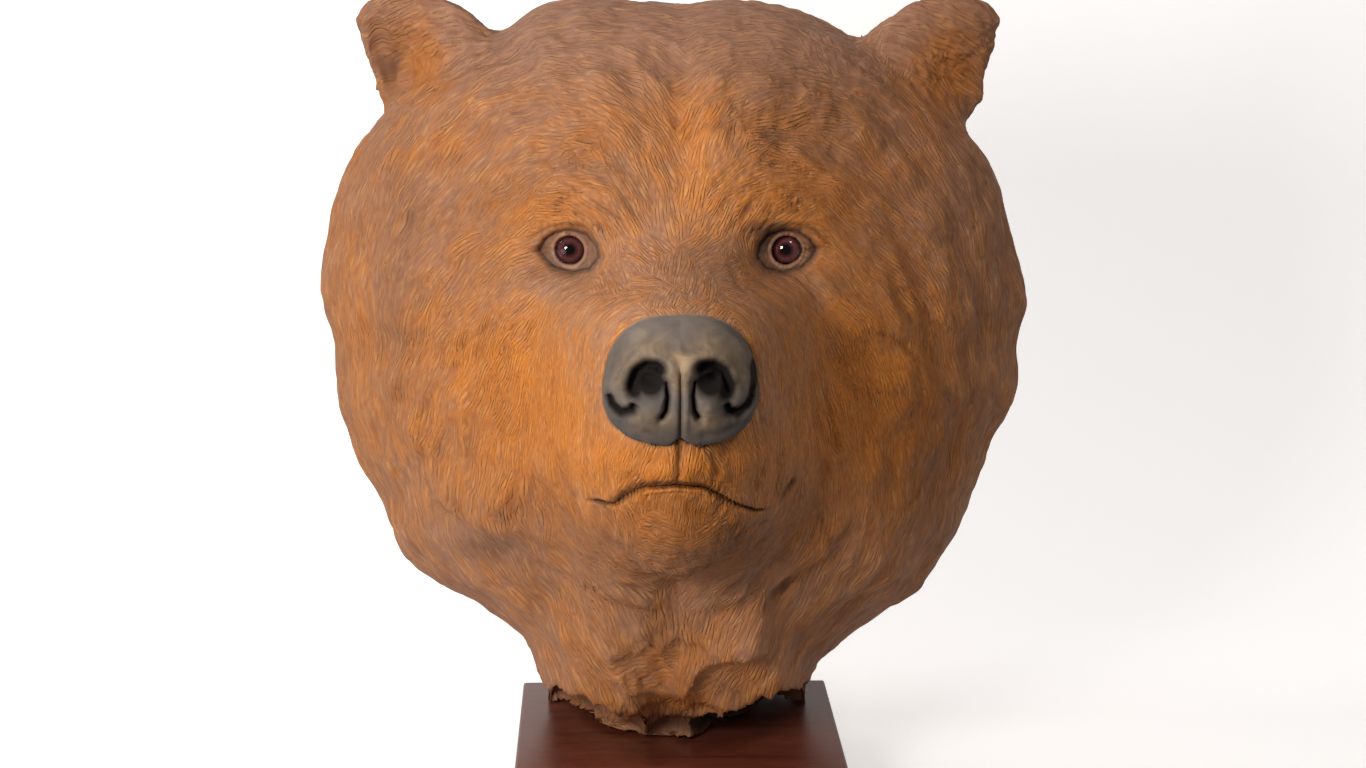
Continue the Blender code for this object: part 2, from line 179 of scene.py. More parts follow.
# In parts of a head 450 parts wide, from the middle of the neck's sawn underside. They are the
# solid's values, but for the ears' cups and edges, the ruff's lower edge and the eyes' hollows.
NOSE_Z = 270.0
OUTLINE = [
    (0, 223), (12, 218), (24, 219), (30, 216), (45, 207), (60, 203), (70, 201), (80, 196), (90, 191),
    (100, 196), (108, 203), (115, 208), (122, 207), (135, 214), (150, 225), (165, 228), (180, 227),
    (186, 222), (192, 226), (204, 229), (212, 229), (222, 240), (232, 236), (240, 235), (246, 244),
    (250, 265), (254, 298), (270, 286), (286, 294), (290, 260), (295, 247), (303, 241), (311, 242),
    (316, 238), (321, 234), (330, 224), (338, 222), (346, 226), (354, 220),
]
WIDEST_Y = 30.0
NECK_WIDEST_Y = 62.0
FACE_Y = 128.0
BACK_Y = 170.0
MUZZLE = [
    (50, -120, 40), (108, 40, 50), (126, 98, 58), (140, 152, 66), (160, 184, 78), (180, 201, 88),
    (198, 211, 93), (212, 219, 94), (232, 226, 92), (252, 233, 90), (270, 235, 88), (288, 232, 85),
    (302, 214, 80), (314, 176, 72), (328, 134, 60), (345, 90, 46), (420, -140, 40),
]
LOCK_ROWS = 6
LOCKS_ROUND = 34
LOCK_HEIGHT = 4.5
NOSE_X = 1.3
NOSE_MIDDLE_Z = 266.5
NOSE_HALF_WIDTH = 41.0
NOSE_HALF_HEIGHT = 34.5
NOSE_FRONT = 247.0
EYE_X = 63.2
EYE_Z = 323.0
EYE_FRONT = 106.0
MOUTH = [
    (-53, 188), (-44, 189), (-35, 190.5), (-27, 198), (-19, 204), (-1, 207), (14, 205), (30, 193),
    (43, 184), (51, 182),
]
# Each ear: its middle across and up, its lean, how deep it is cupped, and how much of a rim it has
EAR_LEFT = (-150.0, 418.0, math.radians(-43.0), 13.0, 1.0)
EAR_RIGHT = (150.0, 415.0, math.radians(44.0), 3.0, 0.15)
EAR_Y = 42.0
EAR_LENGTH = 60.0
EAR_BREADTH = 42.0
EAR_THICKNESS = 21.0
EAR_TURN = math.radians(18.0)
# How far each ear's outer edge is moved outward, by height
EAR_EDGE = [
    (386, 1.0), (397, 0.5), (404, -2.0), (411, -5.5), (422, -5.0), (430, -3.0), (441, 0.5), (450, 5.5),
    (462, 6.0), (475, 2.0),
]


def smooth_curve(points, where):
    """Height at each place on a smooth curve through (place, height) points."""
    knots = np.array(points, float)
    place = knots[:, 0]
    height = knots[:, 1]
    slope = np.gradient(height, place)
    i = np.clip(np.searchsorted(place, where) - 1, 0, len(place) - 2)
    width = place[i + 1] - place[i]
    u = np.clip((where - place[i]) / width, 0.0, 1.0)
    start = height[i] * (1 + 2 * u) * (1 - u) ** 2 + slope[i] * width * u * (1 - u) ** 2
    end = height[i + 1] * u * u * (3 - 2 * u) - slope[i + 1] * width * u * u * (1 - u)
    return start + end


def closed_curve(points, degrees):
    """The same for a closed curve given by degrees."""
    before = [(p[0] - 360, *p[1:]) for p in points[-3:]]
    after = [(p[0] + 360, *p[1:]) for p in points[:3]]
    return smooth_curve(before + points + after, np.mod(degrees, 360.0))


def rise(value):
    """0 below 0, 1 above 1, and smooth between."""
    u = np.clip(value, 0.0, 1.0)
    return u * u * (3 - 2 * u)


def swelling(x, z, middle, size, turn=0.0):
    """1 at the middle of an oval, fading out beyond its size."""
    c = math.cos(math.radians(turn))
    s = math.sin(math.radians(turn))
    across = ((x - middle[0]) * c + (z - middle[1]) * s) / size[0]
    along = ((z - middle[1]) * c - (x - middle[0]) * s) / size[1]
    return np.exp(-across * across - along * along)


def beside(x, z, path):
    """Distance from a path, which side of it (positive on its left) and how far along it, 0 to 1."""
    nearest = np.full(np.shape(x), 1e9)
    side = np.ones(np.shape(x))
    share = np.zeros(np.shape(x))
    count = len(path) - 1
    for k in range(count):
        step_x = path[k + 1][0] - path[k][0]
        step_z = path[k + 1][1] - path[k][1]
        length = step_x * step_x + step_z * step_z
        u = np.clip(((x - path[k][0]) * step_x + (z - path[k][1]) * step_z) / length, 0.0, 1.0)
        away_x = x - path[k][0] - u * step_x
        away_z = z - path[k][1] - u * step_z
        distance = np.hypot(away_x, away_z)
        closer = distance < nearest
        nearest = np.where(closer, distance, nearest)
        side = np.where(closer, np.sign(step_x * away_z - step_z * away_x + 1e-9), side)
        share = np.where(closer, (k + u) / count, share)
    return nearest, side, share


def groove(x, z, path, half_width, ends=6.0):
    """1 along a path, fading out to its half width, and shallower at the path's ends."""
    distance, side, share = beside(x, z, path)
    return np.exp(-(distance / half_width) ** 2) * rise(share * ends + 0.3) * rise((1 - share) * ends + 0.3)


def lock_edge(x, z, path, fade, sharp=7.0):
    """A tuft that stands up along a path and sinks away behind it, on the path's left."""
    distance, side, share = beside(x, z, path)
    ends = rise(share * 5) * rise((1 - share) * 5)
    return rise(distance * side / sharp + 0.5) * np.exp(-(distance / fade) ** 2) * ends


def muzzle_front(x, z):
    """How far forward the muzzle stands."""
    middle = smooth_curve([(p[0], p[1]) for p in MUZZLE], z)
    half = smooth_curve([(p[0], p[2]) for p in MUZZLE], z)
    foot = np.minimum(60.0, middle - 40.0)
    share = np.clip(np.abs(x) / half, 0.0, 1.0)
    return foot + (middle - foot) * (1 - share ** 1.9) ** 0.75 - 3 * np.maximum(np.abs(x) - half, 0.0)


def fur_locks(share, degrees, steep=0.18):
    """Rows of tufts that overlap outward from the face, each standing up towards its tip."""
    along = share * LOCK_ROWS
    row = np.floor(along)
    reach = along - row
    tip = rise(reach / (1 - steep)) * (1 - rise((reach - 1 + steep) / steep))
    count = LOCKS_ROUND - 2 * (LOCK_ROWS - row)
    across = np.abs(np.sin(np.radians(degrees) * count / 2 + 1.3 * row))
    return tip * across * rise((share - 0.52) / 0.16)


def nose_share(x, z):
    """Where a point lies across and up the nose pad, and 0 at its middle to 1 at its rim."""
    up = (z - NOSE_MIDDLE_Z) / NOSE_HALF_HEIGHT
    across = (x - NOSE_X) / (NOSE_HALF_WIDTH * (1 - 0.14 * up))
    notch = 0.16 * np.exp(-((x - NOSE_X) / 4.5) ** 2) * rise(-up)
    return across, up, (np.abs(across) ** 2.7 + np.abs(up) ** 2.7) ** (1 / 2.7) + notch


NOSTRIL = [(25, 257), (25.5, 266), (22.5, 273), (17.5, 276.5), (12.5, 276.5), (8, 272)]
ALAR_SLIT = [(24, 258), (26, 252.5), (31.5, 250.5), (36.5, 254), (39.5, 260)]
RIGHT_SLIT = [(37.5, 256), (39.5, 263), (40, 270), (39, 277)]


def nostrils(x, z):
    """1 down in the nostrils and their slits, 0 elsewhere on the nose."""
    x = x - NOSE_X
    side = np.abs(x)
    hole = groove(side, z, NOSTRIL, 4.6, 4)
    hole = np.maximum(hole, 1.2 * swelling(side, z, (17.0, 270), (8.6, 6.6), 8))
    hole = np.maximum(hole, 0.7 * groove(side, z, [(8, 272), (6.8, 262), (7.8, 254), (11, 248.5)], 1.9))
    hole = np.maximum(hole, 0.70 * groove(side, z, ALAR_SLIT, 3.0))
    return np.maximum(hole, 0.85 * groove(x, z, RIGHT_SLIT, 2.4, 3))


def nose_front(x, z):
    """How far forward the nose pad stands, with its carved wings, nostrils and parting."""
    across, up, round_share = nose_share(x, z)
    fall = 30 * np.abs(across) ** 2.6 + np.where(up > 0, 32, 16) * np.abs(up) ** 2.4
    pad = NOSE_FRONT - 2.5 - fall
    hollowed = nostrils(x, z)
    x = x - NOSE_X
    side = np.abs(x)
    # The wing round each nostril, the flat above it and the swelling inside
    pad = pad + 2.6 * groove(side, z, [(29, 262), (29, 272), (24, 281), (15, 284), (6, 280), (3, 270)], 3.4)
    pad = pad - 1.8 * groove(side, z, [(36, 270), (33, 284), (22, 291), (8, 289), (0, 286)], 3.0)
    pad = pad + 2.0 * groove(side, z, [(37, 280), (30, 293), (16, 298), (0, 297)], 3.2)
    pad = pad + 3.4 * swelling(side, z, (15.5, 259.5), (5.5, 9.5), -8)
    pad = pad + 2.2 * groove(side, z, [(28, 246), (36, 249), (41, 256)], 3.0)
    pad = pad - 1.6 * groove(side, z, [(10, 240), (22, 240), (33, 246)], 2.4)
    pad = pad - 13.0 * hollowed
    pad = pad - 3.8 * groove(x, z, [(0, 276), (0.3, 262), (0, 232)], 1.3)
    pad = pad + 1.2 * groove(x, z, [(2.6, 274), (3.0, 258), (3.2, 240)], 1.5)
    return pad, rise((1.0 - round_share) * 24)


# The lids, on the right eye: the almond's edge and the fold above it
LID_EDGE = [
    (81.5, 322.7), (77.5, 329.1), (71.1, 333.8), (61.7, 335.6), (52.4, 333.4), (46.8, 327), (45.2, 320),
    (50.8, 313.2), (61.5, 310.3), (71.8, 312.2), (77.6, 316.6), (81.5, 322.7),
]
LID_FOLD = [(92, 322), (86.5, 328), (81.2, 333), (74.5, 337), (65.8, 339.4), (54.1, 338.4), (46, 333)]


def eye_folds(x, z):
    """The lids' rim, the almond round the glass, the folds and the wrinkled brow."""
    side = np.abs(x)
    dx = side - EYE_X
    dz = z - EYE_Z
    around = np.hypot(dx, dz)
    folds = 0.9 * np.exp(-((around - 10.0) / 0.6) ** 2) - 0.9 * np.exp(-((around - 11.2) / 0.6) ** 2)
    distance, which, _ = beside(side, z, LID_EDGE)
    folds = folds - 1.9 * np.exp(-(distance / 1.15) ** 2)
    folds = folds + 2.6 * np.exp(-((distance - 3.2) / 3.4) ** 2) * (which < 0) * rise((z - 321) / 6)
    folds = folds + 1.0 * np.exp(-((distance - 3.0) / 2.6) ** 2) * (which < 0) * rise((320 - z) / 6)
    folds = folds - 1.4 * groove(side, z, LID_FOLD, 1.2, 3)
    folds = folds - 3.0 * swelling(side, z, (79.0, 322.6), (3.6, 2.2))
    folds = folds - 1.4 * swelling(side, z, (47.4, 320.5), (2.2, 2.4))
    folds = folds - 0.8 * groove(side, z, [(84, 313), (74, 306), (62, 304), (50, 307)], 1.5, 3)
    folds = folds - 3.0 * brow_wrinkles(x, z)
    return folds


# Long curved cuts that part the cheeks' tufts
TUFT_CUTS = [
    [(-157, 214), (-152, 227), (-143, 240), (-127, 254)], [(-134, 256), (-124, 266), (-108, 281)],
    [(-157, 197), (-162, 176), (-154, 165)], [(-145, 171), (-126, 152), (-112, 146)],
    [(-132, 226), (-126, 210), (-128, 192)], [(-112, 232), (-104, 212), (-106, 194)],
    [(-92, 214), (-84, 196), (-86, 176)], [(-120, 262), (-108, 246), (-104, 226)],
    [(107, 275), (128, 268), (146, 252), (158, 236)], [(164, 191), (152, 168), (136, 151)],
    [(77, 184), (86, 160), (95, 132)], [(49, 106), (64, 116), (77, 128)],
    [(112, 244), (118, 222), (112, 200)], [(134, 240), (142, 216), (136, 190)],
    [(92, 262), (104, 248), (108, 230)],
]


def tuft_cuts(x, z):
    """1 along the tufts' partings, 0 elsewhere."""
    cuts = np.zeros(np.shape(x))
    for path in TUFT_CUTS:
        cuts = np.maximum(cuts, groove(x, z, path, 1.4, 3))
    return cuts


WRINKLES = 11
WRINKLE_MIDDLE_X = 64
WRINKLE_FIRST = 23.0
WRINKLE_STEP = 5.6


def brow_wrinkles(x, z):
    """The wavy cuts that run in arcs over each brow: 1 along them, 0 elsewhere."""
    side = np.abs(x)
    wrinkles = np.zeros(np.shape(x))
    for k in range(WRINKLES):
        outward = side - WRINKLE_MIDDLE_X - 2.6 * k
        turn = np.degrees(np.arctan2(z - EYE_Z, -outward))
        reach = np.hypot(outward, z - EYE_Z)
        wave = 1.5 * np.sin(turn * 0.085 + 1.9 * k) + 0.9 * np.sin(turn * 0.24 + 0.7 * k + x * 0.03)
        line = np.exp(-((reach - WRINKLE_FIRST - WRINKLE_STEP * k - wave) / 1.15) ** 2)
        strength = 0.6 + 0.4 * np.sin(turn * 0.19 + 2.3 * k)
        lift = rise((turn - 8) / 26) * rise((128 - 5.5 * k - turn) / 26)
        wrinkles = np.maximum(wrinkles, line * lift * strength * (1 - 0.03 * k))
    return wrinkles


def widest_y(degrees):
    """Where the head is widest, which is further back at the neck."""
    away = np.abs(np.mod(degrees, 360.0) - 270.0)
    return WIDEST_Y + (NECK_WIDEST_Y - WIDEST_Y) * np.exp(-(away / 30.0) ** 2)


# The ruff's lower edge, left to right
RUFF_EDGE = [
    (-110, 34), (-86, 27), (-74, 34), (-62, 35), (-49, 31), (-38, 24), (-24, 14), (-16, 8), (-7, 2.5),
    (3, 8), (14, 14), (28, 20), (39, 28), (54, 36), (66, 38), (76, 33), (86, 27), (110, 34),
]
# The lumps left on the rough-hewn neck under it: place across and up, and height
NECK_LUMPS = [
    (-70, 22, 12), (-60, 12, 13), (-46, 6, 15), (-52, 22, 9), (-34, 14, 10), (-20, 8, 11), (12, 5, 6),
    (40, 6, 5),
]
# Brow ridges, hollows and cheekbones: height, whether on both sides, middle, size and turn
FACE_FORMS = [
    (7, True, (62, 354), (36, 18), 8), (4, True, (34, 392), (28, 40), 0),
    (-6, True, (44, 304), (18, 20), 40), (8, True, (96, 286), (38, 26), 20),
    (12, True, (98, 190), (38, 60), 15), (6, False, (0, 96), (70, 40), 0),
    (-9, False, (38, 44), (24, 18), -20), (-8, True, (132, 352), (34, 44), 20),
]
# Locks that stand up along their edges, the cheeks' long tufts and then the ruff's: height, path,
# how far they sink away behind it, and how sharp the edge is
STANDING_LOCKS = [
    (9, [(159, 158), (171, 217), (146, 262), (118, 312)], 44, 5),
    (7, [(-150, 262), (-168, 204), (-152, 162), (-98, 134)], 38, 6),
    (2.5, [(-100, 262), (-128, 244), (-134, 214), (-122, 186)], 16, 3),
    (2.5, [(-82, 230), (-88, 204), (-76, 180)], 12, 3),
    (3.0, [(86, 240), (96, 206), (84, 176)], 14, 3),
    (3.0, [(128, 300), (150, 286), (160, 262)], 16, 3),
    (6, [(-98, 137), (-60, 118), (0, 102)], 30, 5),
    (6, [(0, 102), (60, 118), (104, 140)], 30, 5),
    (6, [(-186, 318), (-176, 262), (-186, 214)], 26, 6),
    (6, [(-140, 110), (-104, 92), (-72, 60)], 30, 5),
    (6, [(72, 66), (104, 96), (150, 112)], 30, 5),
    (8.0, [(4, 30), (9, 44), (13, 58), (24, 68), (42, 72), (66, 72)], 16, 3),
    (6.0, [(-46, 62), (-30, 46), (-12, 40), (4, 30)], 14, 3),
    (4.5, [(-34, 96), (-20, 84), (-8, 64), (-2, 44)], 12, 3),
]


def face_front(x, z, share, degrees):
    """How far forward of y = 0 the carving stands."""
    turn = np.radians(degrees)
    sideways = np.cos(turn) ** 2
    upward = np.where(np.sin(turn) > 0, np.sin(turn) ** 2, 0.0)
    downward = 1 - sideways - upward
    cheek = (1 - share ** 1.7) ** 0.83
    brow = (1 - share ** 2.2) ** 0.455
    throat = (1 - share ** 2.3) ** 0.435
    widest = widest_y(degrees)
    front = (FACE_Y + widest) * (sideways * cheek + upward * brow + downward * throat) - widest
    side = np.abs(x)

    # The forehead's parting, then the large forms of the face and the fur
    front = front - 2.5 * groove(x, z, [(-3, 440), (-1, 408), (2, 354), (0, 340)], 13)
    front = front - 0.7 * groove(x, z, [(-4, 446), (-2, 408), (3, 376), (1, 350)], 2.6)
    for height, both_sides, middle, size, slant in FACE_FORMS:
        front = front + height * swelling(side if both_sides else x, z, middle, size, slant)
    front = front + LOCK_HEIGHT * fur_locks(share, degrees)

    # Muzzle and nose
    blend = 17.0
    muzzle = muzzle_front(x, z)
    front = blend * np.logaddexp(front / blend, muzzle / blend)
    round_share = nose_share(x, z)[2]
    front = front - 2.0 * np.exp(-((round_share - 1.02) / 0.045) ** 2)
    pad, on_pad = nose_front(x, z)
    front = front + (pad - front) * on_pad

    # The hollow that each eye sits in, nearly flat round the glass, and the folds round it
    hollow_x = (side - EYE_X) / 23
    hollow_z = (z - EYE_Z) / 16
    hollow = np.exp(-(hollow_x ** 2 + hollow_z ** 2) ** 1.5)
    front = front + (EYE_FRONT - 5.0 - 0.3 * (side - EYE_X) - front) * hollow
    front = front + eye_folds(x, z)

    # The mouth is a knife cut with a sloping upper wall; then the lips, chin and the cut under it
    distance, above, along = beside(x, z, MOUTH)
    slope = 1.8 + 4.2 * rise((along - 0.22) / 0.12) * rise((0.80 - along) / 0.2)
    wall = np.where(above > 0, np.clip(1 - distance / slope, 0, 1), np.clip(1 - distance / 1.3, 0, 1))
    ends = rise(along * 9 + 0.25) * rise((1 - along) * 9 + 0.25)
    front = front - 6.0 * wall * ends
    for drop, depth in ((4.0, 0.9), (7.2, 0.8), (10.5, 0.6)):
        line = [(p[0] * (1 - 0.02 * drop), p[1] - drop) for p in MOUTH]
        front = front - depth * groove(x, z, line, 1.0, 3)
    front = front + 4 * swelling(x, z, (0, 216), (40, 8))
    front = front - 2.6 * groove(x, z, [(0, 238), (0.4, 224), (-0.2, 211)], 1.1)
    front = front - 5 * groove(x, z, [(60.5, 184), (64, 191), (68.5, 196)], 2.4, 3)
    front = front - 2.4 * groove(x, z, [(50, 182), (56, 184), (62, 181)], 1.4, 3)
    front = front - 2.6 * groove(x, z, [(-57, 190), (-61, 186), (-63, 180)], 1.7, 3)
    front = front + 6 * swelling(x, z, (0, 160), (24, 24))
    front = front + 7 * lock_edge(x, z, [(-50, 176), (-24, 148), (0, 134), (24, 148), (50, 176)], 26, 5)

    front = front - 1.8 * tuft_cuts(x, z)

    for height, path, fade, sharp in STANDING_LOCKS:
        front = front + height * lock_edge(x, z, path, fade, sharp)

    # The ruff's lower edge overhangs the rough-hewn neck
    distance, above, _ = beside(x, z, RUFF_EDGE)
    jags = 3.0 * np.abs(np.sin(0.20 * x + 1.1)) + 1.2 * np.sin(0.63 * x) - 1.5
    below = rise(0.2 - (distance * above - jags) / (3.0 + 0.3 * side))
    neck = 28 - 106 * (side / 85) ** 2.2 + 0.12 * z - 34 * rise((x - 6) / 22) * rise((90 - x) / 20)
    for lump_x, lump_z, lump in NECK_LUMPS:
        neck = neck + lump * swelling(x, z, (lump_x, lump_z), (8, 8))
    return front + (np.maximum(neck, 1.0 - widest) - front) * below * rise((70 - z) / 20)


def head_point(turn_degrees, sweep):
    """The head at an angle round the nose axis and a sweep, 0 at the nose to 2 at the back."""
    share = np.sin(sweep * math.pi / 2)
    radius = closed_curve(OUTLINE, turn_degrees) * share
    turn = np.radians(turn_degrees)
    x = radius * np.cos(turn)
    z = NOSE_Z + radius * np.sin(turn)
    front = -face_front(x, z, share, turn_degrees)
    widest = widest_y(turn_degrees)
    back = widest + (BACK_Y - widest) * np.clip(1 - share ** 2.8, 0.0, 1.0) ** (1 / 2.8)
    back = back - 36 * rise((100 - z) / 100) * rise((1 - share) * 12)
    return np.stack([x, np.where(sweep < 1, front, back), z], -1)


# The head's rings run round the nose axis, close together on the face. A ring near the nose or the
# back pole is short, so it has fewer points: the full count divided by its thinning.
FULL_RING = 540
FACE_RINGS = 176
USUAL_RADIUS = 222
THIRD_BELOW = 62
HALF_BELOW = 120


def head_rings():
    """The head's rings of points, from the nose to the back."""
    turns = np.arange(FULL_RING // 3) * 1080.0 / FULL_RING
    sweeps = np.linspace(0.0, 2.0, 1201)
    sweep, turn = np.meshgrid(sweeps, turns)
    points = head_point(turn, sweep)
    step = np.linalg.norm(np.diff(points, axis=1), axis=2)
    middle = (sweep[:, 1:] + sweep[:, :-1]) / 2
    care = 0.42 + 0.72 * rise((1.12 - middle) / 0.2) + 0.35 * rise((0.6 - middle) / 0.2)
    care = care + 0.8 * rise((0.20 - middle) / 0.05)
    run = np.concatenate([np.zeros((len(turns), 1)), np.cumsum(step * care, axis=1)], axis=1)
    coarse = np.zeros((len(turns), FACE_RINGS))
    for j in range(len(turns)):
        coarse[j] = np.interp(np.linspace(0, run[j, -1], FACE_RINGS + 2)[1:-1], run[j], sweeps)
    for smoothing in range(6):
        coarse = (np.roll(coarse, 1, 0) + 2 * coarse + np.roll(coarse, -1, 0)) / 4
    rings = []
    for k in range(FACE_RINGS):
        middle_sweep = coarse[:, k].mean()
        reach = USUAL_RADIUS * math.sin(middle_sweep * math.pi / 2)
        thinning = 3 if reach < THIRD_BELOW else (2 if reach < HALF_BELOW else 1)
        ring_turns = np.arange(FULL_RING // thinning) * 360.0 * thinning / FULL_RING
        own = np.interp(ring_turns, np.append(turns, 360.0), np.append(coarse[:, k], coarse[0, k]))
        rings.append(head_point(ring_turns, own))
    return rings


def skin(mesh, rings, first, last):
    """Faces between rings whose point counts may differ, closed by a point at each end."""
    verts = [[mesh.verts.new(p) for p in ring] for ring in rings]
    ends = [mesh.verts.new(first), mesh.verts.new(last)]
    for j in range(len(verts[0])):
        mesh.faces.new((ends[0], verts[0][(j + 1) % len(verts[0])], verts[0][j]))
    for j in range(len(verts[-1])):
        mesh.faces.new((ends[1], verts[-1][j], verts[-1][(j + 1) % len(verts[-1])]))
    for inner, outer in zip(verts, verts[1:]):
        a = 0
        b = 0
        while a < len(inner) or b < len(outer):
            here = inner[a % len(inner)]
            there = outer[b % len(outer)]
            inner_next = (a + 1) / len(inner)
            outer_next = (b + 1) / len(outer)
            if abs(inner_next - outer_next) < 1e-9:
                mesh.faces.new((here, inner[(a + 1) % len(inner)], outer[(b + 1) % len(outer)], there))
                a += 1
                b += 1
            elif inner_next < outer_next:
                mesh.faces.new((here, inner[(a + 1) % len(inner)], there))
                a += 1
            else:
                mesh.faces.new((here, outer[(b + 1) % len(outer)], there))
                b += 1


def refine(mesh, wanted):
    """Halve the facets where finer carving is wanted, and lay their points on the carved front."""
    mesh.verts.ensure_lookup_table()
    chosen = wanted(np.array([v.co for v in mesh.verts]))
    edges = [e for e in mesh.edges if chosen[e.verts[0].index] and chosen[e.verts[1].index]]
    bmesh.ops.subdivide_edges(mesh, edges=edges, cuts=1, use_grid_fill=True)
    mesh.verts.index_update()
    mesh.verts.ensure_lookup_table()
    points = np.array([v.co for v in mesh.verts])
    near = np.where(wanted(points))[0]
    x = points[near, 0]
    z = points[near, 2]
    degrees = np.degrees(np.arctan2(z - NOSE_Z, x))
    share = np.clip(np.hypot(x, z - NOSE_Z) / closed_curve(OUTLINE, degrees), 0.0, 1.0)
    front = face_front(x, z, share, degrees)
    for i, depth in zip(near, front):
        mesh.verts[i].co.y = -depth


def fine_places(points):
    """Where the face needs finer facets: eyes and brows, nose, mouth and chin, throat and ruff."""
    x, y, z = points[:, 0], points[:, 1], points[:, 2]
    side = np.abs(x)
    on_nose = nose_share(x, z)[2]
    distance = beside(x, z, MOUTH)[0]
    wanted = (on_nose < 1.15) | (np.hypot(side - EYE_X, z - EYE_Z) < 26) | (distance < 14)
    wanted |= (swelling(side, z, (62, 362), (54, 40)) > 0.37) | (swelling(x, z, (0, 160), (40, 34)) > 0.37)
    wanted |= swelling(x, z, (0, 58), (74, 46)) > 0.37
    return wanted & (y < 20) & (z > 3)


def finest_places(points):
    """Where they need to be finer still: lids, nostrils and the knife cut of the mouth."""
    x, y, z = points[:, 0], points[:, 1], points[:, 2]
    side = np.abs(x)
    distance, _, share = beside(x, z, MOUTH)
    wanted = (np.hypot(side - EYE_X, z - EYE_Z) < 21) | ((distance < 6) & (share > 0) & (share < 1))
    wanted |= (side < 45) & (z > 244) & (z < 287)
    return wanted & (y < 20) & (z > 3)


def mesh_object(name, mesh):
    """An object in the scene that takes over the mesh."""
    data = bpy.data.meshes.new(name)
    mesh.to_mesh(data)
    mesh.free()
    made = bpy.data.objects.new(name, data)
    bpy.context.scene.collection.objects.link(made)
    return made


def ear_rings(ear, spokes, rings):
    """One ear as rings round its own middle, from the pole in front to the one behind."""
    turns = np.arange(spokes) * 2 * math.pi / spokes
    sweeps = np.linspace(0.0, math.pi, rings + 2)
    sweep, turn = np.meshgrid(sweeps, turns)
    outward = math.copysign(1.0, ear[0])
    across = np.sin(sweep) * np.cos(turn)
    along = np.sin(sweep) * np.sin(turn)
    through = -np.cos(sweep)
    cup = ear[3] * np.exp(-((across - 0.3 * outward) / 0.46) ** 2 - ((along - 0.1) / 0.62) ** 2)
    to_root = np.clip(0.5 - along, 0.0, 1.5)
    corner = rise(2.4 * across * outward * along)
    x = across * EAR_BREADTH * (1 + 0.16 * to_root + 0.10 * rise(along) + 0.13 * corner)
    y = through * EAR_THICKNESS * (1 + 0.5 * to_root) + np.where(through < 0, cup, 0.35 * cup)
    y = y - 16 * rise(to_root / 1.3) * (through < 0.2)
    z = along * EAR_LENGTH
    # The rolled outer rim with its crease, and the shallow flutes that run down into the cup
    out = across * outward
    rim = np.hypot(across, along)
    outer = ear[4] * rise((out + 0.1) / 0.4) * (through < 0)
    y = y - 3.0 * np.exp(-((rim - 0.88) / 0.07) ** 2) * outer * (0.75 + 0.25 * np.sin(turn * 9))
    y = y + 4.0 * np.exp(-((rim - 0.73) / 0.05) ** 2) * outer
    flutes = np.sin(26 * (along + 0.45 * out) + 2.2 * np.sin(5 * out))
    in_cup = np.exp(-((out + 0.1) / 0.5) ** 2 - ((along - 0.15) / 0.6) ** 2) * (through < 0)
    y = y + (0.3 + 0.6 * ear[4]) * flutes * in_cup
    turn_out = EAR_TURN * outward
    turned_x = x * math.cos(turn_out) - y * math.sin(turn_out)
    turned_y = x * math.sin(turn_out) + y * math.cos(turn_out)
    lean = ear[2]
    leaned_x = turned_x * math.cos(lean) + z * math.sin(lean)
    leaned_z = z * math.cos(lean) - turned_x * math.sin(lean)
    # The outer edge runs nearly straight from the root up to a corner near the top
    heights = [p[0] for p in EAR_EDGE]
    shift = np.interp(ear[1] + leaned_z, heights, [p[1] for p in EAR_EDGE])
    leaned_x = leaned_x + outward * shift * rise((leaned_x * outward - 4) / 30)
    points = np.stack([ear[0] + leaned_x, EAR_Y + turned_y, ear[1] + leaned_z], -1)
    return [points[:, k] for k in range(1, rings + 1)], points[0, 0], points[0, -1]


mesh = bmesh.new()
rings = head_rings()
nose_tip = head_point(np.array([0.0]), np.array([0.0]))[0]
back_tip = head_point(np.array([0.0]), np.array([2.0]))[0]
skin(mesh, rings, nose_tip, back_tip)
refine(mesh, fine_places)
refine(mesh, finest_places)
whole = list(mesh.verts) + list(mesh.edges) + list(mesh.faces)
seat = SEAT_GAP / PART
cut = bmesh.ops.bisect_plane(mesh, geom=whole, plane_co=(0, 0, seat), plane_no=(0, 0, -1), clear_outer=True)
bmesh.ops.contextual_create(mesh, geom=[e for e in cut["geom_cut"] if isinstance(e, bmesh.types.BMEdge)])
bmesh.ops.recalc_face_normals(mesh, faces=mesh.faces)
head = mesh_object("carved_head", mesh)
head.data.materials.append(None)
head.data.materials.append(None)

tools = []
for name, place in (("ear_left_block", EAR_LEFT), ("ear_right_block", EAR_RIGHT)):
    mesh = bmesh.new()
    skin(mesh, *ear_rings(place, 128, 60))
    bmesh.ops.recalc_face_normals(mesh, faces=mesh.faces)
    for face in mesh.faces:
        face.material_index = 1
    block = mesh_object(name, mesh)
    block.data.materials.append(None)
    block.data.materials.append(None)
    step = head.modifiers.new(name, "BOOLEAN")
    step.operation = "UNION"
    step.solver = "EXACT"
    step.object = block
    tools.append(block)

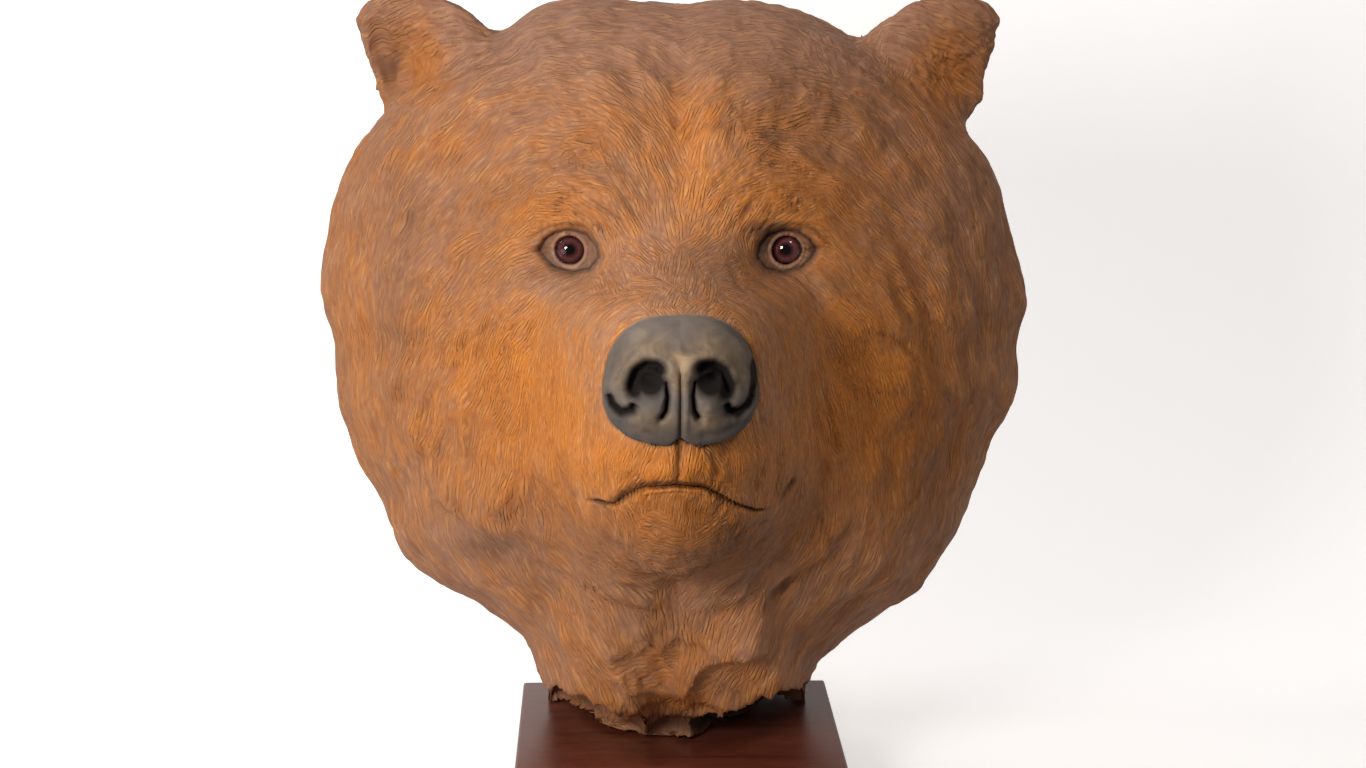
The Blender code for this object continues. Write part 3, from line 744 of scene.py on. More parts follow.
EYE_RADIUS = 9.0
EYE_SPOKES = 72
EYE_CLEARANCE = 0.25
EYE_DEPTH = 8.6
for name, side in (("left_socket", -1), ("right_socket", 1)):
    mesh = bmesh.new()
    bore = EYE_RADIUS + EYE_CLEARANCE
    bmesh.ops.create_cone(mesh, cap_ends=True, segments=EYE_SPOKES, radius1=bore, radius2=bore, depth=60)
    bmesh.ops.rotate(mesh, cent=(0, 0, 0), matrix=Matrix.Rotation(math.pi / 2, 3, "X"), verts=mesh.verts)
    middle = (side * EYE_X, -EYE_FRONT + EYE_DEPTH + EYE_CLEARANCE - 30, EYE_Z)
    bmesh.ops.translate(mesh, vec=middle, verts=mesh.verts)
    drill = mesh_object(name, mesh)
    step = head.modifiers.new(name, "BOOLEAN")
    step.operation = "DIFFERENCE"
    step.solver = "EXACT"
    step.object = drill
    tools.append(drill)

depsgraph = bpy.context.evaluated_depsgraph_get()
shaped = bpy.data.meshes.new_from_object(head.evaluated_get(depsgraph))
head.modifiers.clear()
head.data = shaped
for tool in tools:
    bpy.data.objects.remove(tool)

# Soften the join between ears and skull, after merging the slivers that the Boolean leaves there
mesh = bmesh.new()
mesh.from_mesh(head.data)
join = set()
for edge in mesh.edges:
    kinds = {face.material_index for face in edge.link_faces}
    if len(kinds) > 1:
        join.update(edge.verts)
for widening in range(6):
    join.update([e.other_vert(v) for v in list(join) for e in v.link_edges])
# Taken by their numbers, not in the order that a set happens to have
mesh.verts.index_update()
join = sorted(join, key=lambda point: point.index)
bmesh.ops.remove_doubles(mesh, verts=join, dist=0.8)
join = [v for v in join if v.is_valid]
for passing in range(30):
    bmesh.ops.smooth_vert(mesh, verts=join, factor=0.5, use_axis_x=True, use_axis_y=True, use_axis_z=True)
for face in mesh.faces:
    face.material_index = 0
    face.smooth = True
bmesh.ops.triangulate(mesh, faces=[f for f in mesh.faces if len(f.verts) > 4])
mesh.to_mesh(head.data)
mesh.free()
head.data.calc_loop_triangles()
print("the head has", len(head.data.loop_triangles), "triangles")


# How the fur is combed on the right half of the face: place, then the way it runs in degrees.
# The left half mirrors it. Behind the ears all of it runs down.
COMBING = [
    (0, 308, 90), (0, 340, 90), (6, 390, 80), (20, 402, 60), (60, 420, 28), (105, 425, 5), (60, 455, 8),
    (120, 442, -12), (38, 350, 52), (63, 368, 4), (95, 358, -26), (130, 385, -45), (155, 392, -62),
    (203, 330, -75), (75, 300, -42), (50, 272, -74), (110, 250, -62), (130, 190, -70), (90, 180, -80),
    (25, 222, -52), (2, 226, -90), (0, 180, -90), (22, 176, -76), (40, 136, -142), (30, 90, -108),
    (64, 84, -120), (0, 80, -90), (120, 120, -112), (215, 270, -84), (180, 160, -100), (150, 104, -122),
    (60, 20, -98), (46, 322, 74), (63, 305, -18), (86, 322, -18), (102, 326, -38), (44, 292, -60),
    (25, 318, 62), (165, 425, -20), (190, 440, -30),
]


def combed(points):
    """The way the fur runs at each point, as an angle in the picture's plane."""
    x, y, z = points[:, 0], points[:, 1], points[:, 2]
    sum_x = np.zeros(len(points))
    sum_z = np.zeros(len(points))
    for place_x, place_z, degrees in COMBING:
        away = (np.abs(x) - place_x) ** 2 + (z - place_z) ** 2
        weight = 1.0 / (away + 60.0) ** 2
        sum_x += weight * math.cos(math.radians(degrees))
        sum_z += weight * math.sin(math.radians(degrees))
    size = np.hypot(sum_x, sum_z) + 1e-12
    back = rise((y - 40) / 70)
    run_x = np.sign(x + 1e-9) * sum_x / size * (1 - back)
    run_z = sum_z / size * (1 - back) - back
    return np.arctan2(run_z, run_x)


def vertex_array(data, name):
    """One of the mesh's vectors for every point."""
    values = np.zeros(len(data.vertices) * 3)
    data.vertices.foreach_get(name, values)
    return values.reshape(-1, 3)


def surface_normals(points, triangles):
    """Smooth normals from the triangles."""
    a, b, c = points[triangles[:, 0]], points[triangles[:, 1]], points[triangles[:, 2]]
    flat = np.cross(b - a, c - a)
    normals = np.zeros(points.shape)
    for corner in range(3):
        np.add.at(normals, triangles[:, corner], flat)
    return normals / (np.linalg.norm(normals, axis=1)[:, None] + 1e-12), flat


data = head.data
data.calc_loop_triangles()
triangles = np.zeros(len(data.loop_triangles) * 3, int)
data.loop_triangles.foreach_get("vertices", triangles)
triangles = triangles.reshape(-1, 3)
points = vertex_array(data, "co")
normals, flat = surface_normals(points, triangles)
tree_of_points = kdtree.KDTree(len(points))
for i, p in enumerate(points):
    tree_of_points.insert(p, i)
tree_of_points.balance()
chance = np.random.default_rng(7)


def keep_off(centres):
    """How much a stroke may cut: less on the nose, by eyes and mouth, and on the throat's facet."""
    x, y, z = centres[:, 0], centres[:, 1], centres[:, 2]
    front = y < 0
    on_nose = nose_share(x, z)[2]
    by_eye = np.hypot((np.abs(x) - EYE_X) / 1.35, z - EYE_Z)
    distance = beside(x, z, MOUTH)[0]
    keep = rise((on_nose - 1.0) / 0.25) * rise((by_eye - 12) / 12) * (0.1 + 0.9 * rise((distance - 4) / 9))
    keep = keep * (1 - 0.8 * swelling(x, z, (36, 50), (28, 18), -20))
    keep = keep * (1 - 0.55 * swelling(x, z, (0, 310), (46, 46)))
    keep = keep * (1 - 0.6 * swelling(x, z, (0, 380), (44, 60)))
    return np.where(front, keep, 1.0) * rise((z - 1) / 4)


def strokes(count, long, wide, deep, where, jitter):
    """Scoop out gouge cuts along the combing. Each is long, wide and deep; where gives 0 to 1 by place."""
    area = np.linalg.norm(flat, axis=1)
    middles = points[triangles].mean(axis=1)
    weight = area * where(middles)
    chosen = chance.choice(len(triangles), count, p=weight / weight.sum())
    centres = middles[chosen]
    runs = combed(centres) + chance.normal(0, jitter, count)
    facing = normals[triangles[chosen, 0]]
    ways = np.stack([np.cos(runs), np.zeros(count), np.sin(runs)], 1)
    ways -= facing * (ways * facing).sum(1)[:, None]
    ways /= np.linalg.norm(ways, axis=1)[:, None] + 1e-9
    sides = np.cross(facing, ways)
    sizes = chance.uniform(0.7, 1.3, count)
    depth = deep * sizes * keep_off(centres)
    for k in range(count):
        if depth[k] < 0.02:
            continue
        near = [item[1] for item in tree_of_points.find_range(centres[k], long * sizes[k])]
        if not near:
            continue
        rel = start_points[near] - centres[k]
        u = (rel @ ways[k]) / (long * sizes[k])
        v = (rel @ sides[k]) / (wide * sizes[k])
        scoop = depth[k] * np.clip(1 - v * v, 0, 1) * np.clip(1 - u * u, 0, 1)
        cut_depth[near] = np.maximum(cut_depth[near], scoop)


def away_from_nose(m):
    """How far each place lies from the nose's axis."""
    return np.hypot(m[:, 0], m[:, 2] - NOSE_Z)


def short_cuts(m):
    """Where the strokes are short and scale-like: chin, crown and throat."""
    x, z = m[:, 0], m[:, 2]
    crown = swelling(x, z, (95, 440), (60, 24)) + 0.6 * swelling(x, z, (0, 425), (170, 34))
    cut = 3.0 * swelling(x, z, (0, 172), (28, 26)) + crown + swelling(x, z, (-12, 62), (26, 24))
    return cut * (m[:, 1] < 60)


# The surface starts a little high, since the strokes only cut into it. Each row of strokes gives
# its count, length, width, depth, where it lies and how far it strays from the combing: large
# gouge cuts, the fur's, the short scale-like ones, the chin's, and the rough ones of the neck.
SURFACE_LIFT = 0.7
start_points = points.copy()
points = points + normals * SURFACE_LIFT
relief = np.zeros(len(points))
for count, long, wide, deep, where, jitter in (
    (1100, 34, 10, 2.6, lambda m: rise((away_from_nose(m) - 90) / 60) + 0.04, 0.14),
    (9000, 14, 3.2, 1.2, lambda m: 0.3 + rise((away_from_nose(m) - 60) / 80), 0.17),
    (3600, 6.0, 2.6, 1.5, short_cuts, 0.30),
    (420, 6.5, 3.0, 2.0, lambda m: swelling(m[:, 0], m[:, 2], (0, 170), (24, 24)) * (m[:, 1] < -60), 0.35),
    (160, 12, 8, 3.2, lambda m: rise((34 - m[:, 2]) / 12) * rise((m[:, 2] - 1) / 3), 1.2),
):
    cut_depth = np.zeros(len(points))
    strokes(count, long, wide, deep, where, jitter)
    points = points - normals * cut_depth[:, None]
    relief = relief + cut_depth / deep
points[:, 2] = np.maximum(points[:, 2], seat)

place = Matrix.Translation((0, 0, PLINTH_TOP)) @ Matrix.Rotation(HEAD_TURN, 4, "Z") @ Matrix.Scale(PART, 4)
turned = points @ np.array(place.to_3x3()).T + np.array(place.translation)
low, high = [np.array(corner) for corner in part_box("bear_head")]
turned = np.clip(turned, low, high)
data.vertices.foreach_set("co", turned.ravel())


# Stain, paint and painted shade, as masks by place: middle, size, turn and amount. First, where
# the stain is ochre rather than mauve brown.
OCHRE = [
    ((-98, 236), (58, 60), 0, 0.62), ((125, 226), (46, 70), 8, 0.85), ((-72, 347), (40, 16), 8, 0.50),
    ((68, 352), (34, 24), -8, 0.62), ((-140, 378), (24, 9), 32, 0.32), ((-168, 372), (12, 6), 30, 0.30),
    ((12, 386), (20, 42), 0, 0.34), ((0, 216), (56, 16), 0, 0.72), ((0, 184), (38, 22), 0, 0.60),
    ((-207, 270), (13, 70), 0, 0.34), ((-60, 210), (20, 40), 0, 0.25), ((-186, 190), (20, 40), 0, 0.20),
    ((-10, 62), (24, 22), 0, 0.30), ((0, 34), (40, 12), 0, 0.25), ((-163, 430), (20, 24), 0, 0.78),
    ((168, 422), (28, 30), 0, 0.70), ((80, 308), (34, 30), 0, 0.22), ((-64, 384), (60, 14), 10, 0.16),
    ((-2, 322), (30, 24), 0, -0.20), ((-72, 304), (24, 11), 0, -0.34), ((72, 304), (24, 11), 0, -0.22),
    ((0, 118), (60, 18), 0, -0.14), ((-114, 137), (26, 12), 0, -0.40), ((178, 330), (40, 80), 0, -0.12),
    ((150, 110), (60, 40), 0, -0.12), ((-150, 110), (50, 40), 0, -0.10),
    ((-170, 330), (26, 70), 0, -0.10),
]
# Then, where it is darker: partly dark paint, and partly painted shade under the lips and chin, in the
# hollows under the ruff, at the right eye's upper inner corner, on the right side of the face, which is
# turned from the light, and over the left brow and temple, where the light falls off.
DARKER = [
    ((-182, 419), (5, 15), -12, 0.60), ((0, 170), (34, 18), 0, 0.28), ((-78, 350), (50, 22), 0, 0.10),
    ((-130, 360), (50, 46), 0, 0.08), ((-110, 300), (40, 20), 0, 0.08), ((0, 98), (80, 30), 0, 0.10),
    ((-114, 137), (24, 9), 8, 0.36), ((-40, 126), (36, 9), -26, 0.14), ((38, 124), (36, 9), 26, 0.12),
    ((-52, 148), (14, 12), 0, 0.12), ((54, 150), (16, 14), 0, 0.10), ((186, 300), (30, 110), 0, 0.25),
    ((22, 318), (22, 14), 0, 0.30), ((47, 332), (11, 8), 0, 0.50), ((56, 337), (10, 4), 0, 0.35),
    ((-30, 350), (9, 14), 30, 0.22), ((-36, 384), (12, 16), 20, 0.10), ((70, 400), (50, 14), 0, 0.12),
    ((-100, 438), (50, 14), 0, 0.15), ((-78, 310), (20, 8), 0, 0.28), ((120, 300), (20, 30), 0, 0.20),
    ((56, 296), (40, 50), 0, 0.16), ((-30, 70), (16, 10), 0, 0.10), ((-10, 100), (30, 14), 0, 0.10),
    ((62, 14), (24, 12), 0, 0.7), ((-40, 14), (50, 10), 0, 0.35), ((20, 8), (60, 8), 0, 0.5),
    ((36, 8), (28, 10), 0, 0.9), ((40, 42), (24, 14), -20, 0.28), ((160, 180), (20, 60), 0, 0.25),
    ((150, 205), (24, 40), 0, 0.2), ((-165, 330), (12, 60), 0, 0.18), ((-176, 250), (10, 60), 0, 0.16),
]


def paint_and_shade_masks(points):
    """The masks at each point: ochre, dark, nose, the lids' grey, their pale rim and the crown's grey.

    On the nose, the lids' grey stands for the blue-grey of its paint.
    """
    x, y, z = points[:, 0], points[:, 1], points[:, 2]
    side = np.abs(x)
    front = rise((90 - y) / 60)
    ochre = np.full(len(points), 0.30)
    for middle, size, turn, amount in OCHRE:
        ochre = ochre + amount * swelling(x, z, middle, size, turn) * front
    away = np.hypot(x, z - NOSE_Z) / closed_curve(OUTLINE, np.degrees(np.arctan2(z - NOSE_Z, x)))
    ochre = ochre - 0.10 * rise((away - 0.8) / 0.2) - 0.25 * rise((z - 400) / 50)
    # The dark mask: partly dark paint, partly painted shade.
    dark = np.zeros(len(points))
    for middle, size, turn, amount in DARKER:
        dark = dark + 0.82 * amount * swelling(x, z, middle, size, turn) * front
    across, up, round_share = nose_share(x, z)
    nose = rise((1.04 - round_share) / 0.04) * (y < -150)
    # Painted shade in the mouth's cut and on the wall under the upper lip, and in the lip's parting and the
    # mouth's corners.
    distance, above, share = beside(x, z, MOUTH)
    ends = rise(share * 9 + 0.2) * rise((1 - share) * 9 + 0.2)
    wall = 1.4 + 4.2 * rise((share - 0.12) / 0.12) * rise((0.85 - share) / 0.3)
    knife = 0.74 * rise((wall - distance) / 1.2) * (above > 0) + np.exp(-(distance / 1.0) ** 2)
    parting = groove(x, z, [(0, 238), (0.4, 224), (-0.2, 211)], 1.2)
    corners = groove(x, z, [(60.5, 184), (64, 191), (68.5, 196)], 2.6, 3)
    dark = dark + (0.72 * knife * ends + 0.7 * parting + 0.6 * corners) * (y < -100)
    # Painted shade in the lids' creases, the groove round the glass, the fold above each eye and the cuts of
    # the brows and cheeks; the lids inside each almond are painted darker too.
    by_eye, which, _ = beside(side, z, LID_EDGE)
    around = np.hypot(side - EYE_X, z - EYE_Z)
    rims = 0.5 * np.exp(-(by_eye / 1.2) ** 2) + 0.4 * np.exp(-((around - 11.2) / 0.5) ** 2)
    dark = dark + rims * (y < -60)
    dark = dark + 0.45 * groove(side, z, LID_FOLD, 1.3, 3) * (y < -60)
    dark = dark + 0.32 * (which > 0) * rise((around - 11) / 2) * rise((27 - around) / 5) * (y < -60)
    dark = dark + (0.42 * brow_wrinkles(x, z) + 0.16 * tuft_cuts(x, z)) * (y < -20)
    # Painted shade down in the nostrils and their slits, and on the nose's underside and right side, which
    # turn from the light; its left rim is painted darker as well.
    inner_wall = swelling(np.abs(x - NOSE_X), z, (17, 267), (8, 10))
    dark = np.maximum(dark, 0) + (1.5 * nostrils(x, z) + 0.5 * inner_wall) * nose
    turned_away = 0.34 * rise((-up - 0.25) / 0.5) + 0.20 * rise((across - 0.35) / 0.4)
    dark = dark + nose * (turned_away + 0.22 * rise((-across - 0.6) / 0.3))
    inside = (which > 0) | (around < 12)
    lid = np.where(inside, 1.0, np.exp(-(by_eye / 3.0) ** 2)) * rise((24 - around) / 5) * (y < -60)
    nose_side = np.abs(x - NOSE_X)
    warm = groove(nose_side, z, [(31, 260), (28, 279), (15, 288), (0, 282), (0, 262)], 8.0)
    warm = warm + swelling(nose_side, z, (16, 247), (12, 8))
    lid = lid + nose * np.clip(1.0 - warm, 0, 1)
    pale_rim = 0.9 * np.exp(-((around - 9.9) / 0.45) ** 2) * (y < -60) * (0.35 + 0.65 * rise((330 - z) / 12))
    crown = rise((z - 405) / 45) * (0.15 + 0.85 * rise((165 - side) / 40))
    return np.clip(ochre, 0, 1), np.clip(dark, 0, 1), nose, np.clip(lid, 0, 1), pale_rim, crown


ochre, dark, nose, lid, pale_rim, crown = paint_and_shade_masks(start_points)
# This attribute carries the ochre, the dark mask with its painted shade, and the nose.
for name, values in (
    ("paint_and_shade", np.stack([ochre, dark, nose], 1)),
    ("greys", np.stack([lid, pale_rim, crown], 1)),
):
    layer = data.attributes.new(name, "FLOAT_VECTOR", "POINT")
    layer.data.foreach_set("vector", values.ravel())
layer = data.attributes.new("relief", "FLOAT", "POINT")
layer.data.foreach_set("value", np.clip(relief / 2.0, 0, 1))

corner_vertex = np.zeros(len(data.loops), int)
data.loops.foreach_get("vertex_index", corner_vertex)
face_corners = np.zeros(len(data.polygons), int)
data.polygons.foreach_get("loop_total", face_corners)
face_first = np.concatenate([[0], np.cumsum(face_corners)[:-1]])
face_middles = np.add.reduceat(start_points[corner_vertex], face_first, axis=0) / face_corners[:, None]


def comb_patches(gap):
    """Patches of parallel knife cuts that follow the fur.

    At each face corner: how far along and across its patch's cuts it lies, counted in cuts, a number
    for the patch, and how well inside its patch it is, from 0 at a join to 1.
    """
    area = np.linalg.norm(flat, axis=1)
    tried = chance.choice(len(triangles), 12000, p=area / area.sum())
    spots = start_points[triangles[tried]].mean(axis=1)
    kept = [0]
    for i in range(1, len(spots)):
        if ((spots[kept] - spots[i]) ** 2).sum(1).min() > gap * gap:
            kept.append(i)
    centres = spots[kept]
    facing = normals[triangles[tried[kept], 0]]
    x, y, z = centres[:, 0], centres[:, 1], centres[:, 2]
    runs = combed(centres) + chance.normal(0, 0.10, len(centres))
    ripples = (np.abs(x) < (z - 136) * 0.72) & (z < 184)
    ripples |= swelling(x, z, (-14, 66), (20, 18)) > 0.5
    ripples |= swelling(x, z, (110, 432), (50, 16), -14) > 0.5
    runs = runs + np.where(ripples & (y < 20), math.pi / 2, 0.0)
    spacing = 2.0 + 1.2 * rise((away_from_nose(centres) - 110) / 90) + 1.2 * rise((y - 30) / 60)
    spacing = np.where(ripples, 2.8, spacing) * chance.uniform(0.85, 1.2, len(centres))
    shortness = np.where(ripples, 2.4, 1.0)
    ways = np.stack([np.cos(runs), np.zeros(len(runs)), np.sin(runs)], 1)
    ways -= facing * (ways * facing).sum(1)[:, None]
    ways /= np.linalg.norm(ways, axis=1)[:, None] + 1e-9
    sides = np.cross(facing, ways)
    tree = kdtree.KDTree(len(centres))
    for i, p in enumerate(centres):
        tree.insert(p, i)
    tree.balance()
    near = np.array([[item[1] for item in tree.find_n(p, 7)] for p in start_points])

    def away(place, patch):
        rel = place - centres[patch]
        u = (rel * ways[patch]).sum(-1)
        v = (rel * sides[patch]).sum(-1)
        return u, v, np.sqrt(np.maximum((rel ** 2).sum(-1) - u * u * 0.55, 0.0))

    choices = near[corner_vertex[face_first]]
    closest = away(face_middles[:, None, :], choices)[2].argmin(1)
    own = np.repeat(choices[np.arange(len(choices)), closest], face_corners)
    u, v, own_away = away(start_points[corner_vertex], own)
    others = away(start_points[:, None, :], near)[2][corner_vertex]
    others[near[corner_vertex] == own[:, None]] = 1e9
    inside = np.clip((others.min(1) - own_away) / 4.0, 0.0, 1.0)
    return np.stack([u / spacing[own] * shortness[own], v / spacing[own], own * 0.731], 1), inside


for name in ("comb_over", "comb_under"):
    comb, inside = comb_patches(17.0)
    layer = data.attributes.new(name, "FLOAT_VECTOR", "CORNER")
    layer.data.foreach_set("vector", comb.ravel())
    if name == "comb_over":
        layer = data.attributes.new("comb_share", "FLOAT", "CORNER")
        layer.data.foreach_set("value", inside)
data.update()


def knife_cuts_group():
    """Parallel knife cuts, wavering and broken off: their depth, their tufts and their streaks."""
    group = bpy.data.node_groups.new("knife_cuts", "ShaderNodeTree")
    group.interface.new_socket(name="Comb", in_out="INPUT", socket_type="NodeSocketVector")
    for name in ("Cuts", "Tufts", "Streaks"):
        group.interface.new_socket(name=name, in_out="OUTPUT", socket_type="NodeSocketFloat")
    start = group.nodes.new("NodeGroupInput")
    end = group.nodes.new("NodeGroupOutput")
    apart = add(group, "ShaderNodeSeparateXYZ")
    group.links.new(start.outputs["Comb"], apart.inputs[0])
    noises = []
    for along, across, detail in ((0.12, 0.34, 1.0), (0.40, 1.05, 0.0)):
        stretch = add(group, "ShaderNodeVectorMath", operation="MULTIPLY")
        stretch.inputs[1].default_value = (along, across, 1.0)
        noise = add(group, "ShaderNodeTexNoise", Scale=1.0, Detail=detail, Roughness=0.5)
        group.links.new(start.outputs["Comb"], stretch.inputs[0])
        group.links.new(stretch.outputs[0], noise.inputs["Vector"])
        noises.append(noise.outputs[0])
    waver = sum_up(group, "MULTIPLY_ADD", noises[0], 7.0, -3.5)
    phase = sum_up(group, "MULTIPLY_ADD", apart.outputs[1], math.pi, waver)
    strand = sum_up(group, "ABSOLUTE", sum_up(group, "SINE", phase, 0.0), 0.0)
    narrow = sum_up(group, "POWER", sum_up(group, "SUBTRACT", 1.0, strand), 2.2)
    held = mapped(group, noises[1], (0.40, 0.60), (0.12, 1.0))
    light_cuts = sum_up(group, "MULTIPLY", narrow, held)
    bold_phase = sum_up(group, "MULTIPLY_ADD", apart.outputs[1], 0.62, waver)
    bold = sum_up(group, "ABSOLUTE", sum_up(group, "SINE", bold_phase, 0.0), 0.0)
    bold = sum_up(group, "POWER", sum_up(group, "SUBTRACT", 1.0, bold), 5.0)
    bold_held = mapped(group, noises[1], (0.47, 0.62), (0.0, 0.8))
    bold_cuts = sum_up(group, "MULTIPLY", bold, bold_held)
    group.links.new(sum_up(group, "MAXIMUM", light_cuts, bold_cuts), end.inputs["Cuts"])
    group.links.new(noises[0], end.inputs["Tufts"])
    group.links.new(noises[1], end.inputs["Streaks"])
    return group


def blend_value(tree, factor, first, second):
    """One Mix node over two plain values."""
    node = tree.nodes.new("ShaderNodeMix")
    tree.links.new(factor, node.inputs[0])
    tree.links.new(first, node.inputs[2])
    tree.links.new(second, node.inputs[3])
    return node.outputs[0]


knife_cuts = knife_cuts_group()
# The head's colour: stain and paint, with painted shade from the dark mask, the cuts and the hollows.
head_wood, surface = new_material("stained_and_shaded_carved_wood")
tree = head_wood.node_tree
paint_and_shade = add(tree, "ShaderNodeSeparateXYZ")
greys = add(tree, "ShaderNodeSeparateXYZ")
tree.links.new(add(tree, "ShaderNodeAttribute", attribute_name="paint_and_shade").outputs["Vector"], paint_and_shade.inputs[0])
tree.links.new(add(tree, "ShaderNodeAttribute", attribute_name="greys").outputs["Vector"], greys.inputs[0])
relief_at = add(tree, "ShaderNodeAttribute", attribute_name="relief")
share_at = add(tree, "ShaderNodeAttribute", attribute_name="comb_share")
layers = []
for name in ("comb_under", "comb_over"):
    comb_at = add(tree, "ShaderNodeAttribute", attribute_name=name)
    layer_cuts = add(tree, "ShaderNodeGroup", node_tree=knife_cuts)
    tree.links.new(comb_at.outputs["Vector"], layer_cuts.inputs["Comb"])
    layers.append(layer_cuts)
cuts, tufts, streaks = [
    blend_value(tree, share_at.outputs["Fac"], layers[0].outputs[k], layers[1].outputs[k]) for k in range(3)
]
place = add(tree, "ShaderNodeTexCoord")
cloud = add(tree, "ShaderNodeTexNoise", Scale=26.0, Detail=3.0, Roughness=0.6)
tree.links.new(place.outputs["Object"], cloud.inputs["Vector"])

# The stain goes from mauve brown to ochre, brushed on along the fur
cloud_swing = sum_up(tree, "MULTIPLY_ADD", cloud.outputs[0], 0.8, -0.40)
brush_swing = sum_up(tree, "MULTIPLY_ADD", tufts, 1.1, -0.55)
ochre_share = sum_up(tree, "ADD", sum_up(tree, "ADD", paint_and_shade.outputs[0], cloud_swing), brush_swing)
base_colour = ramp(
    tree,
    ochre_share,
    [
        (0.00, (0.350, 0.172, 0.098)), (0.25, (0.400, 0.176, 0.078)),
        (0.60, (0.500, 0.182, 0.046)), (1.00, (0.560, 0.178, 0.022)),
    ],
)
for share, strength, colour in (
    (greys.outputs[2], 0.7, (0.430, 0.230, 0.150)),
    (greys.outputs[0], 0.75, (0.240, 0.130, 0.085)),
    (greys.outputs[1], 0.7, (0.360, 0.240, 0.185)),
):
    base_colour = blend_colour(tree, sum_up(tree, "MULTIPLY", share, strength), base_colour, colour)

# The cuts are painted darker, partly stain that gathers there and partly painted shade, and the stain is
# rubbed thin on the ridges
off_lids = sum_up(tree, "SUBTRACT", 1.0, greys.outputs[0])
patchy = mapped(tree, cloud.outputs[0], (0.38, 0.62), (0.45, 1.0))
cuts = sum_up(tree, "MULTIPLY", sum_up(tree, "MULTIPLY", cuts, patchy), off_lids)
cut_shade = sum_up(tree, "MINIMUM", sum_up(tree, "MULTIPLY", cuts, 0.58), 0.9)
base_colour = blend_colour(tree, cut_shade, base_colour, (0.120, 0.042, 0.018))
ridge = mapped(tree, streaks, (0.54, 0.72), (0.0, 0.40))
base_colour = blend_colour(tree, ridge, base_colour, (0.640, 0.310, 0.105))
shade = mapped(tree, streaks, (0.46, 0.30), (0.0, 0.44))
base_colour = blend_colour(tree, shade, base_colour, (0.210, 0.080, 0.036))
# Painted shade in the gouges' hollows, by how deep they are cut.
hollow = sum_up(tree, "MULTIPLY", relief_at.outputs["Fac"], 0.32)
base_colour = blend_colour(tree, hollow, base_colour, (0.170, 0.065, 0.030))

# The nose is painted over in warm and blue greys
nose_cloud = add(tree, "ShaderNodeTexNoise", Scale=55.0, Detail=4.0, Roughness=0.6, Distortion=0.6)
tree.links.new(place.outputs["Object"], nose_cloud.inputs["Vector"])
nose_paint = ramp(
    tree,
    nose_cloud.outputs[0],
    [
        (0.28, (0.085, 0.070, 0.062)), (0.45, (0.165, 0.120, 0.082)),
        (0.60, (0.260, 0.180, 0.108)), (0.76, (0.390, 0.275, 0.160)),
    ],
)
blue_grey = sum_up(tree, "MULTIPLY", greys.outputs[0], 0.8)
nose_paint = blend_colour(tree, blue_grey, nose_paint, (0.135, 0.118, 0.112))
base_colour = blend_colour(tree, paint_and_shade.outputs[2], base_colour, nose_paint)
# The dark mask's near black: dark paint, and painted shade in the cuts, creases, nostrils and hollows.
base_colour = blend_colour(tree, paint_and_shade.outputs[1], base_colour, (0.011, 0.007, 0.006))
tree.links.new(base_colour, surface.inputs["Base Color"])
rough = mapped(tree, streaks, (0.3, 0.7), (0.66, 0.52))
tree.links.new(sum_up(tree, "MAXIMUM", rough, paint_and_shade.outputs[1]), surface.inputs["Roughness"])
surface.inputs["Specular IOR Level"].default_value = 0.22
height = sum_up(tree, "MULTIPLY_ADD", tufts, 1.8, sum_up(tree, "MULTIPLY", cuts, -0.75))
height = sum_up(tree, "MULTIPLY_ADD", streaks, 0.5, height)
bare = sum_up(tree, "SUBTRACT", 1.0, sum_up(tree, "MAXIMUM", paint_and_shade.outputs[2], greys.outputs[0]))
bump = add(tree, "ShaderNodeBump", Strength=1.0, Distance=0.0011)
tree.links.new(sum_up(tree, "MULTIPLY", height, bare), bump.inputs["Height"])
tree.links.new(bump.outputs[0], surface.inputs["Normal"])
data.materials.clear()
data.materials.append(head_wood)
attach(head, "root")
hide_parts("bear_head")


# The eyes: clear glass domes with the painted iris and pupil sealed inside.
# Each is pushed into its drilled socket from the front.
EYE_DOME = 5.8
GLASS_BACK = EYE_DEPTH - 0.1
IRIS_BACK = EYE_DEPTH - 0.3
IRIS_RADIUS = EYE_RADIUS - 0.2
DOME_STEPS = 12
DOME_BALL = (EYE_RADIUS ** 2 + EYE_DOME ** 2) / (2 * EYE_DOME)


def turned_piece(name, profile, count=EYE_SPOKES):
    """A closed piece turned round the Y axis from (radius, depth) points, front first."""
    mesh = bmesh.new()
    loops = []
    for radius, depth in profile:
        if radius < 1e-6:
            loops.append([mesh.verts.new((0, depth, 0))] * count)
            continue
        ring = []
        for k in range(count):
            a = 2 * math.pi * k / count
            ring.append(mesh.verts.new((radius * math.cos(a), depth, radius * math.sin(a))))
        loops.append(ring)
    for first, second in zip(loops, loops[1:]):
        for k in range(count):
            k2 = (k + 1) % count
            corners = []
            for corner in (first[k], first[k2], second[k2], second[k]):
                if corner not in corners:
                    corners.append(corner)
            if len(corners) > 2:
                mesh.faces.new(corners)
    bmesh.ops.recalc_face_normals(mesh, faces=mesh.faces)
    made = mesh_object(name, mesh)
    for polygon in made.data.polygons:
        polygon.use_smooth = True
    return made


clear_glass, surface = new_material("clear_eye_glass")
surface.inputs["Base Color"].default_value = (1.0, 1.0, 1.0, 1.0)
surface.inputs["Transmission Weight"].default_value = 1.0
surface.inputs["Roughness"].default_value = 0.0
surface.inputs["IOR"].default_value = 1.46

